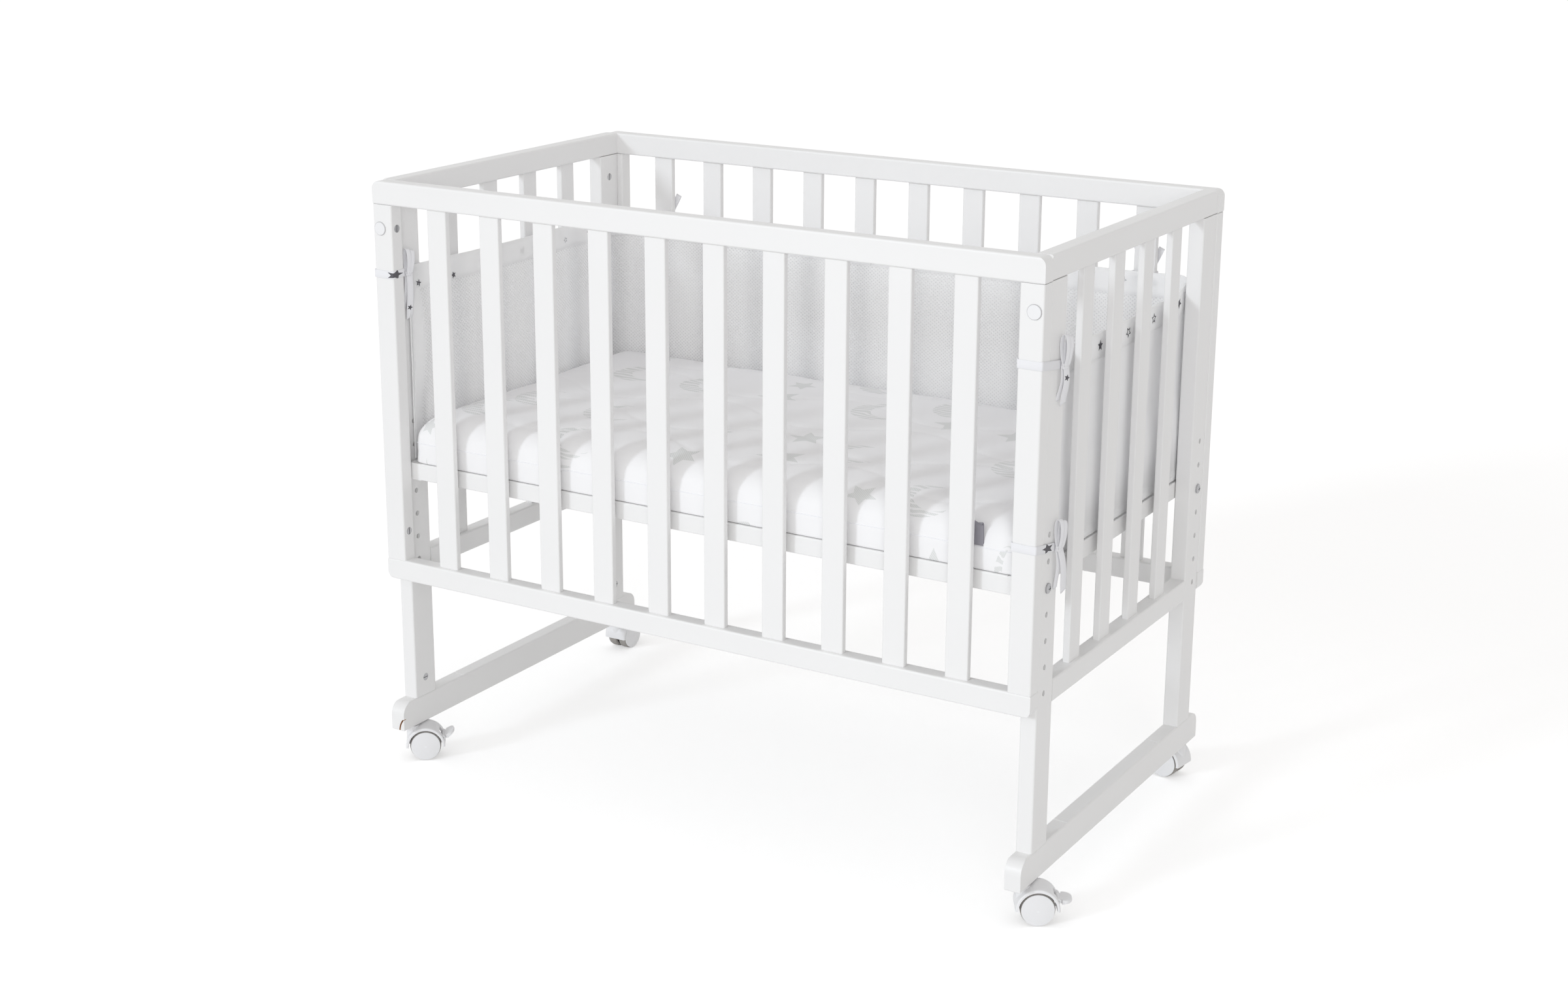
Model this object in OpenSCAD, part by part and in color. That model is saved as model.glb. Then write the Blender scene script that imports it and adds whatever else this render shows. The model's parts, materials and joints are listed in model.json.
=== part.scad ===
// Bedside cot on four braked castors, with a slatted base, a mattress and a tied cloth liner
// X runs along the cot, Y from the front panel to the back panel, Z up from the floor

/* [Cot frame] */
// Length over the two long panels
panel_l = 945; // [900:1:1200]
// Width over the outer faces of the long panels
bed_w = 536; // [510:1:700]
// Height from the floor to the top of the rails
bed_h = 800; // [780:1:900]
// Height of a long panel
panel_h = 535; // [525:1:560]
// How far each end frame stands inside the panel ends
end_setback = 1; // [0:0.5:3]
// Hairline left where a top rail sits on a leg
seat_gap = 0.3; // [0.1:0.1:0.6]

/* [Timber] */
// Thickness of the rails and stiles of the long panels
rail_t = 21; // [19:1:26]
// Height of the top rails
top_rail_h = 30; // [28:1:40]
// Height of the bottom rails
bottom_rail_h = 28; // [26:1:40]
// Width of a panel stile
stile_w = 30; // [28:1:36]
// Thickness of a leg and of the end frame rails, along the cot
leg_t = 21; // [20:1:26]
// Depth of a leg, across the cot
leg_d = 42; // [38:1:48]
// Rounding of the long edges
edge_r = 2.5; // [1:0.5:4]
// Rounding of the outer corners of a long panel
corner_r = 10; // [4:1:13]

/* [Slats] */
// Width of a slat
slat_w = 30; // [24:1:36]
// Thickness of a slat
slat_t = 9; // [7:1:12]
// Rounding of the slat edges
slat_r = 2; // [1:0.5:3]
// Number of slats in a long panel
long_slat_count = 10; // [8:1:12]
// Number of slats in an end frame
end_slat_count = 4; // [3:1:5]
// How deep a slat end goes into its rail
tenon_d = 10; // [6:1:14]
// Clearance all round in a mortise
mortise_gap = 0.1; // [0.05:0.05:0.3]

/* [Foot bars] */
// How far a foot bar reaches beyond the outer face of its leg
foot_over = 28; // [26:1:60]
// Height of a foot bar
foot_h = 39; // [34:1:48]
// Rounding of the top corners of a foot bar
foot_corner_r = 17; // [8:1:20]
// Distance of the cross groove from the middle of a foot bar
groove_y = 144; // [120:1:160]
// Depth of the cross groove
groove_d = 0.8; // [0.4:0.1:1.2]

/* [Height holes] */
// Distance from the top of the cot down to the top hole of each leg
hole_drop = 323.6; // [300:0.1:340]
// Distance from one hole to the next
hole_pitch = 32; // [30:0.5:34]
// Number of holes in a leg
hole_count = 7; // [5:1:7]
// Which hole from the top holds the base
base_hole = 3; // [1:1:5]
// Distance of the holes from the face of the leg that meets the panel
hole_inset = 17; // [14:0.5:19]
// Radius of a hole
hole_r = 3.5; // [3.2:0.1:4]

/* [Slatted base] */
// Height of the rails of the base
base_rail_h = 22.6; // [20:0.1:28]
// Thickness of the rails of the base
base_rail_t = 22; // [20:1:26]
// Clearance between the base and the end frames
base_gap = 0.5; // [0.3:0.1:1]
// How far the base stands behind the inner face of a long panel
base_inset = 1.5; // [0.5:0.5:4]
// Number of cross slats
base_slat_count = 11; // [9:1:13]
// Width of a cross slat
base_slat_w = 40; // [30:1:50]
// Thickness of a cross slat
base_slat_t = 9; // [8:0.5:12]

/* [Fasteners] */
// Radius of a bolt shank
bolt_r = 3; // [2.5:0.5:3]
// Clearance of a bolt in its hole
bolt_gap = 0.3; // [0.2:0.1:0.5]
// Radius of a bolt head
head_r = 6.2; // [5.5:0.1:6.5]
// Height of a bolt head
head_h = 3.4; // [2.5:0.1:4]
// Radius of a barrel nut
nut_r = 5; // [4.5:0.5:5.5]
// Length of a barrel nut in a leg
nut_l = 15; // [13:1:17]
// Length of a barrel nut in a stile
stile_nut_l = 22; // [20:1:24]
// Height of the upper panel bolts below the top rail
panel_bolt_drop = 31; // [28:1:60]
// Radius of the plastic cap over a panel bolt
cap_r = 9; // [8:0.5:10]
// Height of the plastic cap
cap_h = 1.6; // [1.4:0.1:2.5]
// Rounding of the edge of the plastic cap
cap_edge_r = 1.2; // [0.8:0.1:1.3]
// Depth of the counterbore for a sunk bolt head
sink_d = 6; // [5:0.5:8]
// Height of the barrel nut of a foot bolt above the foot bar
foot_nut_rise = 25; // [20:1:30]
// Radius of a wooden dowel
dowel_r = 4; // [3:0.5:4]
// How far a dowel goes into each piece
dowel_d = 18; // [12:1:19]

/* [Mattress] */
// Thickness of the mattress
mattress_h = 66; // [50:1:80]
// Rounding of the mattress corners seen from above
mattress_corner_r = 30; // [20:1:50]
// Rounding of the upper edge of the mattress
mattress_top_r = 30; // [15:1:35]
// How much higher the middle of the mattress is than its rim
crown = 4; // [2:1:8]
// Height of the side seam above the underside
seam_z = 28; // [20:1:32]
// Gap from the mattress to the liner, and to the front of the base
mattress_gap = 1; // [1:0.5:5]
// Gap from a soft piece to what it lies on
soft_gap = 0.3; // [0.2:0.1:0.5]

/* [Liner] */
// Distance from the top rails down to the liner's top edge at the back and left
liner_drop = 84; // [70:1:110]
// How much lower the right end of the liner hangs
right_drop = 11; // [0:1:20]
// Height of the bottom hem above the base
hem_rise = 8; // [4:1:20]
// Thickness of the cloth
cloth_t = 1.4; // [1:0.1:2]
// Depth of the folds to each side
fold = 1.6; // [0.5:0.1:1.8]
// Rough distance between folds
fold_pitch = 110; // [80:5:160]
// Width of the tie tapes
tape_w = 12; // [8:1:16]
// Thickness of the tie tapes
tape_t = 1; // [0.8:0.1:1.4]
// Height of a bow loop
bow_h = 42; // [30:1:50]
// Length of the tape ends below a bow
tail_l = 48; // [30:1:60]
// Height of the lower tie above the base
low_tie_rise = 36; // [30:1:60]

/* [Castors] */
// Height of the underside of the foot bars above the floor
castor_h = 49; // [49:0.5:56]
// Radius of a wheel
wheel_r = 21; // [21:0.5:22]
// Width over both wheels of a castor
twin_w = 36; // [34:1:40]
// Distance of the wheel axle from the swivel axis
trail = 17; // [16:0.5:19]
// Distance of the swivel axis from the end of the foot bar
castor_inset = 30; // [26:1:34]
// Gap from the wheel tread to the hood
hood_gap = 2; // [1.5:0.1:2.5]
// Wall of the hood
hood_t = 3.5; // [3:0.1:4]
// Radius of the castor stem
stem_r = 4; // [3.5:0.5:4.5]
// Length of the stem inside the foot bar
stem_l = 30; // [24:1:32]
// Running clearance on pins and stems
run_gap = 0.05; // [0.03:0.01:0.08]
// Radius of the wheel axle
axle_r = 2.5; // [2:0.5:2.5]
// Reach of the brake lever beyond the axle
lever_reach = 41; // [38:1:44]
// Width of the brake lever
lever_w = 24; // [20:1:26]
// Thickness of the brake lever
lever_t = 3.6; // [3:0.1:4.5]
// Swing of the brake lever between braked and free
lever_swing = 34; // [20:1:36]

/* [Hidden] */
$fn = 64;
lacquer = [0.93, 0.93, 0.92];
zinc = [0.72, 0.73, 0.74];
plastic = [0.93, 0.93, 0.95];
cloth = [0.94, 0.94, 0.95];

// Planes and heights shared by the wooden pieces
half_l = panel_l / 2;
half_w = bed_w / 2;
end_x = half_l - end_setback;
leg_x = end_x - leg_t / 2;
leg_in_x = end_x - leg_t;
panel_y = half_w - rail_t / 2;
panel_in_y = half_w - rail_t;
leg_y = panel_in_y - leg_d / 2;
leg_in_y = panel_in_y - leg_d;
top_z = bed_h - top_rail_h;
low_z = bed_h - panel_h;
low_top_z = low_z + bottom_rail_h;
foot_top_z = castor_h + foot_h;
foot_l = 2 * (panel_in_y + foot_over);
stile_x = half_l - stile_w / 2;
stile_in_x = half_l - stile_w;

// Slats share the clear width evenly
long_gap = (2 * stile_in_x - long_slat_count * slat_w) / (long_slat_count + 1);
long_pitch = long_gap + slat_w;
end_gap = (2 * leg_in_y - end_slat_count * slat_w) / (end_slat_count + 1);
end_pitch = end_gap + slat_w;
slat_l = top_z - low_top_z + 2 * tenon_d;

// Holes, bolts and nuts
hole_y = panel_in_y - hole_inset;
hole_top_z = bed_h - hole_drop;
base_z = hole_top_z - (base_hole - 1) * hole_pitch;
high_bolt_z = top_z - panel_bolt_drop;
low_bolt_z = hole_top_z - (hole_count - 2.5) * hole_pitch;
bolt_hole_r = bolt_r + bolt_gap;
nut_hole_r = nut_r + 0.1;
foot_nut_z = foot_top_z + foot_nut_rise;
dowel_hole_r = dowel_r + mortise_gap;
rail_dowel_r = dowel_r - 1;
stile_dowel_x = stile_in_x + stile_w / 4;
leg_dowel_dy = leg_d / 4;
rail_dowel_dz = bottom_rail_h / 4;

// Slit in the front end of the left foot bar: its distance from the middle of the cot, and its size
slit_x = leg_x - 2.7;
slit_r = 25;
slit_w = 2.2;
slit_h = 17;
slit_d = 4;

// Slatted base
base_end_x = leg_in_x - base_gap;
base_front_y = panel_in_y - base_inset;
base_top_z = base_z + base_rail_h / 2;
base_inner_l = 2 * (base_end_x - base_rail_t);
base_slat_pitch = base_inner_l / base_slat_count;
base_slat_l = 2 * (base_front_y - base_rail_t) + 2 * tenon_d;
base_dowel_y = base_front_y - base_rail_t / 4;
base_dowel_r = 3;
base_edge_r = 1.5;
base_slat_rise = 2;
insert_r = 5;
insert_l = 13;

// Soft pieces; a hem held by tapes keeps this taut share of the folds
band_gap = 0.15;
mattress_z = base_top_z + soft_gap;
taut = 0.15;
fade_l = 60;
liner_end_x = leg_in_x - band_gap - tape_t - soft_gap - taut * fold - cloth_t / 2;
liner_back_y = panel_in_y - cloth_t / 2 - fold - soft_gap;
mattress_end_x = liner_end_x - cloth_t / 2 - fold - mattress_gap;
mattress_back_y = liner_back_y - cloth_t / 2 - fold - mattress_gap;
mattress_front_y = base_front_y - mattress_gap;
slat_tie_y = liner_back_y + cloth_t / 2 + taut * fold + soft_gap + tape_t + band_gap;
liner_low_z = base_top_z + hem_rise;
liner_top = top_z - liner_drop;
tie_high_z = liner_top - tape_w / 2;
tie_low_z = base_top_z + low_tie_rise;
bow_d = 8;

// Castors: swivel axes, resting turn and lever of each one
castor_x = leg_x;
castor_y = foot_l / 2 - castor_inset;
front_left_turn = 38;
front_right_turn = 31;
back_left_turn = 90;
back_right_turn = 172;
hood_in_r = wheel_r + hood_gap;
hood_out_r = hood_in_r + hood_t;
hood_drop = 1.5;
hood_edge_r = 1.8;
neck_r = stem_r + 4.5;
neck_top_z = castor_h - 1.6;
flange_h = 1.4;
stem_low_z = 35;
snap_z = 40;
socket_r = stem_r + 1.5;
fin_t = 3;
wheel_gap = 2;
hub_r = 5;
tread_t = 3.5;
tread_edge_r = 3.4;
cover_r = wheel_r - 1.2;
cover_t = 2.6;
cover_edge_r = 2;
wheel_wall_t = 3;
dome_r = 120;
wheel_w = twin_w / 2 - wheel_gap;
pivot_r = hood_out_r - 0.7;
pivot_a = 22;
pivot_u = pivot_r * cos(pivot_a);
pivot_v = pivot_r * sin(pivot_a);
ear_r = 3.3;
pin_r = 1.5;
pin_l = 3.5;
ear_w = 4;
slot_gap = 0.3;
barrel_r = 2.5;
arm_w = 16;
lever_corner_r = 9;
lever_neck_l = 5;
lever_tip_t = 2;
lever_root_l = 0.6;
lever_rest = -5;

// Shift that puts the middle of the whole outline over the origin
right_reach = castor_x + (trail + lever_reach - lever_corner_r) * cos(front_right_turn)
  + (lever_w / 2 - lever_corner_r) * sin(front_right_turn) + lever_corner_r;
left_reach = castor_x + twin_w / 2;
back_reach = castor_y + trail + lever_reach;
front_reach = foot_l / 2;
shift = [(left_reach - right_reach) / 2, (front_reach - back_reach) / 2, 0];

// Rectangle with round corners, centred
module round_rect(w, h, r) {
  square([w - 2 * r, h], center = true);
  square([w, h - 2 * r], center = true);
  for (sx = [-1, 1], sy = [-1, 1])
    translate([sx * (w / 2 - r), sy * (h / 2 - r)])
      circle(r = r);
}

// Rectangle whose upper and lower corners have their own rounding
module end_outline(w, h, r_up, r_low) {
  translate([-w / 2, -h / 2 + r_low])
    square([w, h - r_up - r_low]);
  translate([-w / 2 + r_up, 0])
    square([w - 2 * r_up, h / 2]);
  translate([-w / 2 + r_low, -h / 2])
    square([w - 2 * r_low, h / 2]);
  for (s = [-1, 1]) {
    translate([s * (w / 2 - r_up), h / 2 - r_up])
      circle(r = r_up);
    translate([s * (w / 2 - r_low), -h / 2 + r_low])
      circle(r = r_low);
  }
}

// Bars with round edges along each axis, centred
module bar_x(l, w, h, r) {
  rotate([90, 0, 90])
    linear_extrude(l, center = true)
      round_rect(w, h, r);
}

module bar_y(l, w, h, r) {
  rotate([90, 0, 0])
    linear_extrude(l, center = true)
      round_rect(w, h, r);
}

module bar_z(l, w, d, r) {
  linear_extrude(l, center = true)
    round_rect(w, d, r);
}

// Rods along X and Y, centred
module rod_x(l, r) {
  rotate([0, 90, 0])
    cylinder(h = l, r = r, center = true);
}

module rod_y(l, r) {
  rotate([90, 0, 0])
    cylinder(h = l, r = r, center = true);
}

// Bar with round edges whose ends have round corners too
module rounded_bar_x(l, t, h, r_up, r_low) {
  intersection() {
    bar_x(l, t, h, edge_r);
    rotate([90, 0, 0])
      linear_extrude(t + 2, center = true)
        end_outline(l, h, r_up, r_low);
  }
}

// Copies at both signs of X and Y
module at_corners(x, y) {
  for (sx = [-1, 1], sy = [-1, 1])
    translate([sx * x, sy * y, 0])
      children();
}

// Centres of the slats of a long panel and of an end frame
module long_row() {
  for (i = [0 : long_slat_count - 1])
    translate([(i - (long_slat_count - 1) / 2) * long_pitch, 0, 0])
      children();
}

module end_row() {
  for (i = [0 : end_slat_count - 1])
    translate([0, (i - (end_slat_count - 1) / 2) * end_pitch, 0])
      children();
}

// Hole for a slat end, open towards the slat
module mortise(w, d) {
  bar_z(2 * tenon_d + 2 * mortise_gap, w + 2 * mortise_gap, d + 2 * mortise_gap, slat_r + mortise_gap);
}

// Long panel, side is -1 for the front one and 1 for the back one
module panel_top_rail(side) {
  translate([0, side * panel_y, 0])
    difference() {
      translate([0, 0, top_z + top_rail_h / 2])
        rounded_bar_x(panel_l, rail_t, top_rail_h, corner_r, edge_r);
      translate([0, 0, top_z])
        long_row()
          mortise(slat_w, slat_t);
      for (s = [-1, 1])
        translate([s * stile_dowel_x, 0, top_z])
          cylinder(h = 2 * dowel_d, r = dowel_hole_r, center = true);
    }
}

module panel_bottom_rail(side) {
  translate([0, side * panel_y, 0])
    difference() {
      translate([0, 0, low_z + bottom_rail_h / 2])
        rounded_bar_x(panel_l, rail_t, bottom_rail_h, edge_r, corner_r);
      translate([0, 0, low_top_z])
        long_row()
          mortise(slat_w, slat_t);
      for (s = [-1, 1])
        translate([s * stile_dowel_x, 0, low_top_z])
          cylinder(h = 2 * dowel_d, r = dowel_hole_r, center = true);
    }
}

module panel_slats(side) {
  translate([0, side * panel_y, (top_z + low_top_z) / 2])
    long_row()
      bar_z(slat_l, slat_w, slat_t, slat_r);
}

// Blank of a stile with its dowel holes, end is -1 for the left one and 1 for the right one
module stile_blank(end, side) {
  difference() {
    translate([end * stile_x, side * panel_y, (top_z + low_top_z) / 2])
      bar_z(top_z - low_top_z, stile_w, rail_t, edge_r);
    for (z = [low_top_z, top_z])
      translate([end * stile_dowel_x, side * panel_y, z])
        cylinder(h = 2 * dowel_d, r = dowel_hole_r, center = true);
  }
}

// The front panel is held from inside the cot by barrel nuts in its stiles
module front_stile(end) {
  difference() {
    stile_blank(end, -1);
    translate([end * leg_x, -panel_y, high_bolt_z])
      rod_y(rail_t + 1, bolt_hole_r);
    translate([end * leg_x, -panel_in_y, low_bolt_z])
      rod_y(2 * front_bolt_reach(), bolt_hole_r);
    for (z = [low_bolt_z, high_bolt_z])
      translate([end * (stile_in_x + stile_nut_l / 2), -panel_y, z])
        rod_x(stile_nut_l + 0.2, nut_hole_r);
  }
}

// The back panel is held from outside by barrel nuts in the legs
module back_stile(end) {
  difference() {
    stile_blank(end, 1);
    for (z = [low_bolt_z, high_bolt_z])
      translate([end * leg_x, 0, z]) {
        translate([0, panel_y, 0])
          rod_y(rail_t + 1, bolt_hole_r);
        translate([0, half_w, 0])
          rod_y(2 * sink_d, head_r + bolt_gap);
      }
  }
}

function front_bolt_reach() = rail_t / 2 + nut_r;

// End frame pieces, end is -1 for the left frame and 1 for the right one
module end_top_rail(end) {
  translate([end * leg_x, 0, 0])
    difference() {
      translate([0, 0, top_z + top_rail_h / 2 + seat_gap / 2])
        bar_y(2 * panel_in_y, leg_t, top_rail_h - seat_gap, edge_r);
      translate([0, 0, top_z])
        end_row()
          rotate([0, 0, 90])
            mortise(slat_w, slat_t);
      for (s = [-1, 1], d = [-1, 1])
        translate([0, s * leg_y + d * leg_dowel_dy, top_z])
          cylinder(h = 2 * dowel_d, r = dowel_hole_r, center = true);
    }
}

module end_bottom_rail(end) {
  translate([end * leg_x, 0, 0])
    difference() {
      translate([0, 0, low_z + bottom_rail_h / 2])
        bar_y(2 * leg_in_y, leg_t, bottom_rail_h, edge_r);
      translate([0, 0, low_top_z])
        end_row()
          rotate([0, 0, 90])
            mortise(slat_w, slat_t);
      for (s = [-1, 1], d = [-1, 1])
        translate([0, s * leg_in_y, low_z + bottom_rail_h / 2 + d * rail_dowel_dz])
          rod_y(2 * dowel_d, rail_dowel_r + mortise_gap);
    }
}

module end_frame_slats(end) {
  translate([end * leg_x, 0, (top_z + low_top_z) / 2])
    end_row()
      rotate([0, 0, 90])
        bar_z(slat_l, slat_w, slat_t, slat_r);
}

// Leg with its column of height holes and the seats of its bolts, nuts and dowels
module leg(end, side) {
  leg_l = top_z - foot_top_z;
  difference() {
    translate([end * leg_x, side * leg_y, foot_top_z + leg_l / 2])
      bar_z(leg_l, leg_t, leg_d, edge_r);
    for (i = [0 : hole_count - 1])
      translate([end * leg_x, side * hole_y, hole_top_z - i * hole_pitch])
        rod_x(leg_t + 1, hole_r);
    for (z = [low_bolt_z, high_bolt_z])
      leg_panel_bolt_seat(end, side, z);
    translate([end * leg_x, side * leg_y, foot_nut_z - nut_r])
      cylinder(h = 2 * (foot_nut_z - foot_top_z), r = bolt_hole_r, center = true);
    translate([end * (leg_in_x + nut_l / 2), side * leg_y, foot_nut_z])
      rod_x(nut_l + 0.2, nut_hole_r);
    for (d = [-1, 1]) {
      translate([end * leg_x, side * leg_y + d * leg_dowel_dy, top_z])
        cylinder(h = 2 * dowel_d, r = dowel_hole_r, center = true);
      translate([end * leg_x, side * leg_in_y, low_z + bottom_rail_h / 2 + d * rail_dowel_dz])
        rod_y(2 * dowel_d, rail_dowel_r + mortise_gap);
    }
  }
}

// In a front leg the bolt passes right through, in a back leg it ends in a barrel nut
module leg_panel_bolt_seat(end, side, z) {
  if (side < 0)
    translate([end * leg_x, -leg_y, z])
      rod_y(leg_d + 1, bolt_hole_r);
  else {
    translate([end * leg_x, (leg_y - nut_r + panel_in_y) / 2, z])
      rod_y(panel_in_y - leg_y + nut_r + 1, bolt_hole_r);
    translate([end * (leg_in_x + nut_l / 2), leg_y, z])
      rod_x(nut_l + 0.2, nut_hole_r);
  }
}

// Foot bar with its bolt holes, castor sockets and cross grooves
module foot_bar(end) {
  translate([end * leg_x, 0, 0])
    difference() {
      translate([0, 0, castor_h + foot_h / 2])
        rotate([0, 0, 90])
          rounded_bar_x(foot_l, leg_t, foot_h, foot_corner_r, edge_r);
      for (s = [-1, 1]) {
        translate([0, s * leg_y, castor_h + foot_h / 2])
          cylinder(h = foot_h + 1, r = bolt_hole_r, center = true);
        translate([0, s * leg_y, castor_h])
          cylinder(h = 2 * sink_d, r = head_r + bolt_gap, center = true);
        translate([0, s * castor_y, castor_h])
          cylinder(h = 2 * stem_l + 2, r = socket_r, center = true);
        translate([0, s * groove_y, foot_top_z])
          rotate([45, 0, 0])
            cube([leg_t + 1, groove_d * sqrt(2), groove_d * sqrt(2)], center = true);
      }
    }
}

// Wooden dowels of the panels, the end frames and the base
module dowels() color("burlywood") translate(shift) {
  for (end = [-1, 1], side = [-1, 1]) {
    for (z = [low_top_z, top_z])
      translate([end * stile_dowel_x, side * panel_y, z])
        cylinder(h = 2 * dowel_d - 1, r = dowel_r, center = true);
    for (d = [-1, 1]) {
      translate([end * leg_x, side * leg_y + d * leg_dowel_dy, top_z])
        cylinder(h = 2 * dowel_d - 1, r = dowel_r, center = true);
      translate([end * leg_x, side * leg_in_y, low_z + bottom_rail_h / 2 + d * rail_dowel_dz])
        rod_y(2 * dowel_d - 1, rail_dowel_r);
    }
    translate([end * (base_end_x - base_rail_t), side * base_dowel_y, base_z])
      rod_x(base_rail_t - 1, base_dowel_r);
  }
}

// Slatted base
module base_long_rail(side) {
  difference() {
    translate([0, side * (base_front_y - base_rail_t / 2), base_z])
      bar_x(base_inner_l, base_rail_t, base_rail_h, base_edge_r);
    for (s = [-1, 1])
      translate([s * base_inner_l / 2, side * base_dowel_y, base_z])
        rod_x(base_rail_t, base_dowel_r + mortise_gap);
    base_row()
      cube([
        base_slat_w + 2 * mortise_gap,
        base_slat_l + 2 * mortise_gap,
        base_slat_t + 2 * mortise_gap], center = true);
  }
}

module base_row() {
  for (i = [0 : base_slat_count - 1])
    translate([(i - (base_slat_count - 1) / 2) * base_slat_pitch, 0, base_z + base_slat_rise])
      children();
}

module base_end_rail(end) {
  difference() {
    translate([end * (base_end_x - base_rail_t / 2), 0, base_z])
      bar_y(2 * base_front_y, base_rail_t, base_rail_h, base_edge_r);
    for (s = [-1, 1]) {
      translate([end * (base_end_x - base_rail_t), s * base_dowel_y, base_z])
        rod_x(base_rail_t, base_dowel_r + mortise_gap);
      translate([end * base_end_x, s * hole_y, base_z])
        rod_x(2 * insert_l + 6, bolt_hole_r);
      translate([end * base_end_x, s * hole_y, base_z])
        rod_x(2 * insert_l, insert_r);
    }
  }
}

// Bolt with a pan head and a cross recess, its head at the origin and its shank along -Z
module bolt(l) {
  difference() {
    union() {
      intersection() {
        cylinder(h = head_h, r = head_r);
        translate([0, 0, head_h - 2 * head_r])
          sphere(r = 2 * head_r);
      }
      translate([0, 0, -l])
        cylinder(h = l + 0.5, r = bolt_r);
    }
    for (a = [0, 90])
      rotate([0, 0, a])
        translate([0, 0, head_h])
          cube([head_r, 1.2, 3], center = true);
  }
}

// Barrel nut along Z with its cross hole and a driver slot
module barrel_nut(l, hole_at) {
  difference() {
    cylinder(h = l, r = nut_r);
    translate([0, 0, hole_at])
      rod_y(2 * nut_r + 1, bolt_r);
    cube([2 * nut_r + 1, 1.4, 2], center = true);
  }
}

module base_bolts() color(zinc) translate(shift)
  for (end = [-1, 1], side = [-1, 1])
    translate([end * end_x, side * hole_y, base_z])
      rotate([0, end * 90, 0])
        bolt(leg_t + base_gap + insert_l);

module base_nuts() color(zinc) translate(shift)
  for (end = [-1, 1], side = [-1, 1])
    translate([end * (base_end_x - insert_l / 2), side * hole_y, base_z])
      difference() {
        rod_x(insert_l, insert_r);
        rod_x(insert_l + 1, bolt_r);
      }

module panel_bolts() color(zinc) translate(shift)
  for (end = [-1, 1], z = [low_bolt_z, high_bolt_z]) {
    translate([end * leg_x, -leg_in_y, z])
      rotate([-90, 0, 0])
        bolt(leg_d + front_bolt_reach());
    translate([end * leg_x, half_w - sink_d, z])
      rotate([-90, 0, 0])
        bolt(rail_t - sink_d + leg_d / 2 + nut_r);
  }

module panel_nuts() color(zinc) translate(shift)
  for (end = [-1, 1], z = [low_bolt_z, high_bolt_z]) {
    translate([end * stile_in_x, -panel_y, z])
      rotate([0, end * 90, 0])
        barrel_nut(stile_nut_l, leg_x - stile_in_x);
    translate([end * leg_in_x, leg_y, z])
      rotate([0, end * 90, 0])
        barrel_nut(nut_l, leg_t / 2);
  }

module foot_bolts() color(zinc) translate(shift)
  at_corners(leg_x, leg_y)
    translate([0, 0, castor_h + sink_d])
      rotate([180, 0, 0])
        bolt(foot_nut_z + nut_r - castor_h - sink_d);

module foot_nuts() color(zinc) translate(shift)
  for (end = [-1, 1], side = [-1, 1])
    translate([end * leg_in_x, side * leg_y, foot_nut_z])
      rotate([0, end * 90, 0])
        rotate([0, 0, 90])
          barrel_nut(nut_l, leg_t / 2);

// Flat cap with a rounded edge whose stem plugs the bolt hole, along -Z
module cap(plug_r, plug_l) {
  rotate_extrude() {
    square([cap_r - cap_edge_r, cap_h]);
    square([cap_r, cap_h - cap_edge_r]);
    intersection() {
      square([cap_r, cap_h]);
      translate([cap_r - cap_edge_r, cap_h - cap_edge_r])
        circle(r = cap_edge_r);
    }
  }
  translate([0, 0, -plug_l])
    cylinder(h = plug_l + 0.5, r = plug_r);
}

module bolt_caps() color(plastic) translate(shift)
  for (end = [-1, 1]) {
    translate([end * leg_x, -half_w, high_bolt_z])
      rotate([90, 0, 0])
        cap(bolt_r, 4);
    for (z = [low_bolt_z, high_bolt_z])
      translate([end * leg_x, half_w, z])
        rotate([-90, 0, 0])
          cap(head_r, sink_d - head_h - 0.2);
  }

// Outline of a rounded rectangle as points, eight to a corner
function outline(x, y, r) = [
  for (q = [0 : 3], i = [0 : 7])
    let (a = 90 * q + 90 * i / 7, sx = (q == 0 || q == 3) ? 1 : -1, sy = q < 2 ? 1 : -1)
      [sx * (x - r) + r * cos(a), sy * (y - r) + r * sin(a)]];

// Side of the mattress: inset from the full outline at each height above its underside
function mattress_rings() = let (
  r_low = seam_z / 3,
  low = [for (a = [0 : 30 : 90]) [r_low * (1 - sin(a)), r_low * (1 - cos(a))]],
  seam = [[0, seam_z - 2], [1.2, seam_z], [0, seam_z + 2]],
  rim_z = mattress_h - crown,
  up = [for (a = [0 : 15 : 75])
    [mattress_top_r * (1 - cos(a)), rim_z - mattress_top_r * (1 - sin(a))]])
  concat(low, seam, up,
    [[mattress_top_r * 1.1, rim_z + crown * 0.2],
     [mattress_top_r * 2.2, rim_z + crown * 0.6],
     [mattress_top_r * 4, rim_z + crown * 0.9],
     [mattress_top_r * 6, rim_z + crown]]);

module mattress_form(x, y) {
  rings = mattress_rings();
  n = 32;
  layers = [for (g = rings)
    [for (p = outline(x - g[0], y - g[0], max(mattress_corner_r - g[0] / 2, 4)))
      [p[0], p[1], g[1]]]];
  count = len(rings);
  points = [for (layer = layers, p = layer) p];
  sides = [for (k = [0 : count - 2], i = [0 : n - 1])
    let (j = (i + 1) % n, a = k * n, b = (k + 1) * n)
      each [[a + i, b + i, b + j], [a + i, b + j, a + j]]];
  ends = [[for (i = [0 : n - 1]) i], [for (i = [n - 1 : -1 : 0]) (count - 1) * n + i]];
  polyhedron(points, concat(sides, ends), convexity = 4);
}

module mattress() color([0.95, 0.94, 0.95]) translate(shift)
  translate([0, (mattress_back_y - mattress_front_y) / 2, mattress_z])
    mattress_form(mattress_end_x, (mattress_back_y + mattress_front_y) / 2);

// Folded cloth tag sewn to the front of the mattress
label_x = mattress_end_x - 55.3;
label_w = 14;
label_h = 25;
label_t = 1;

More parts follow.
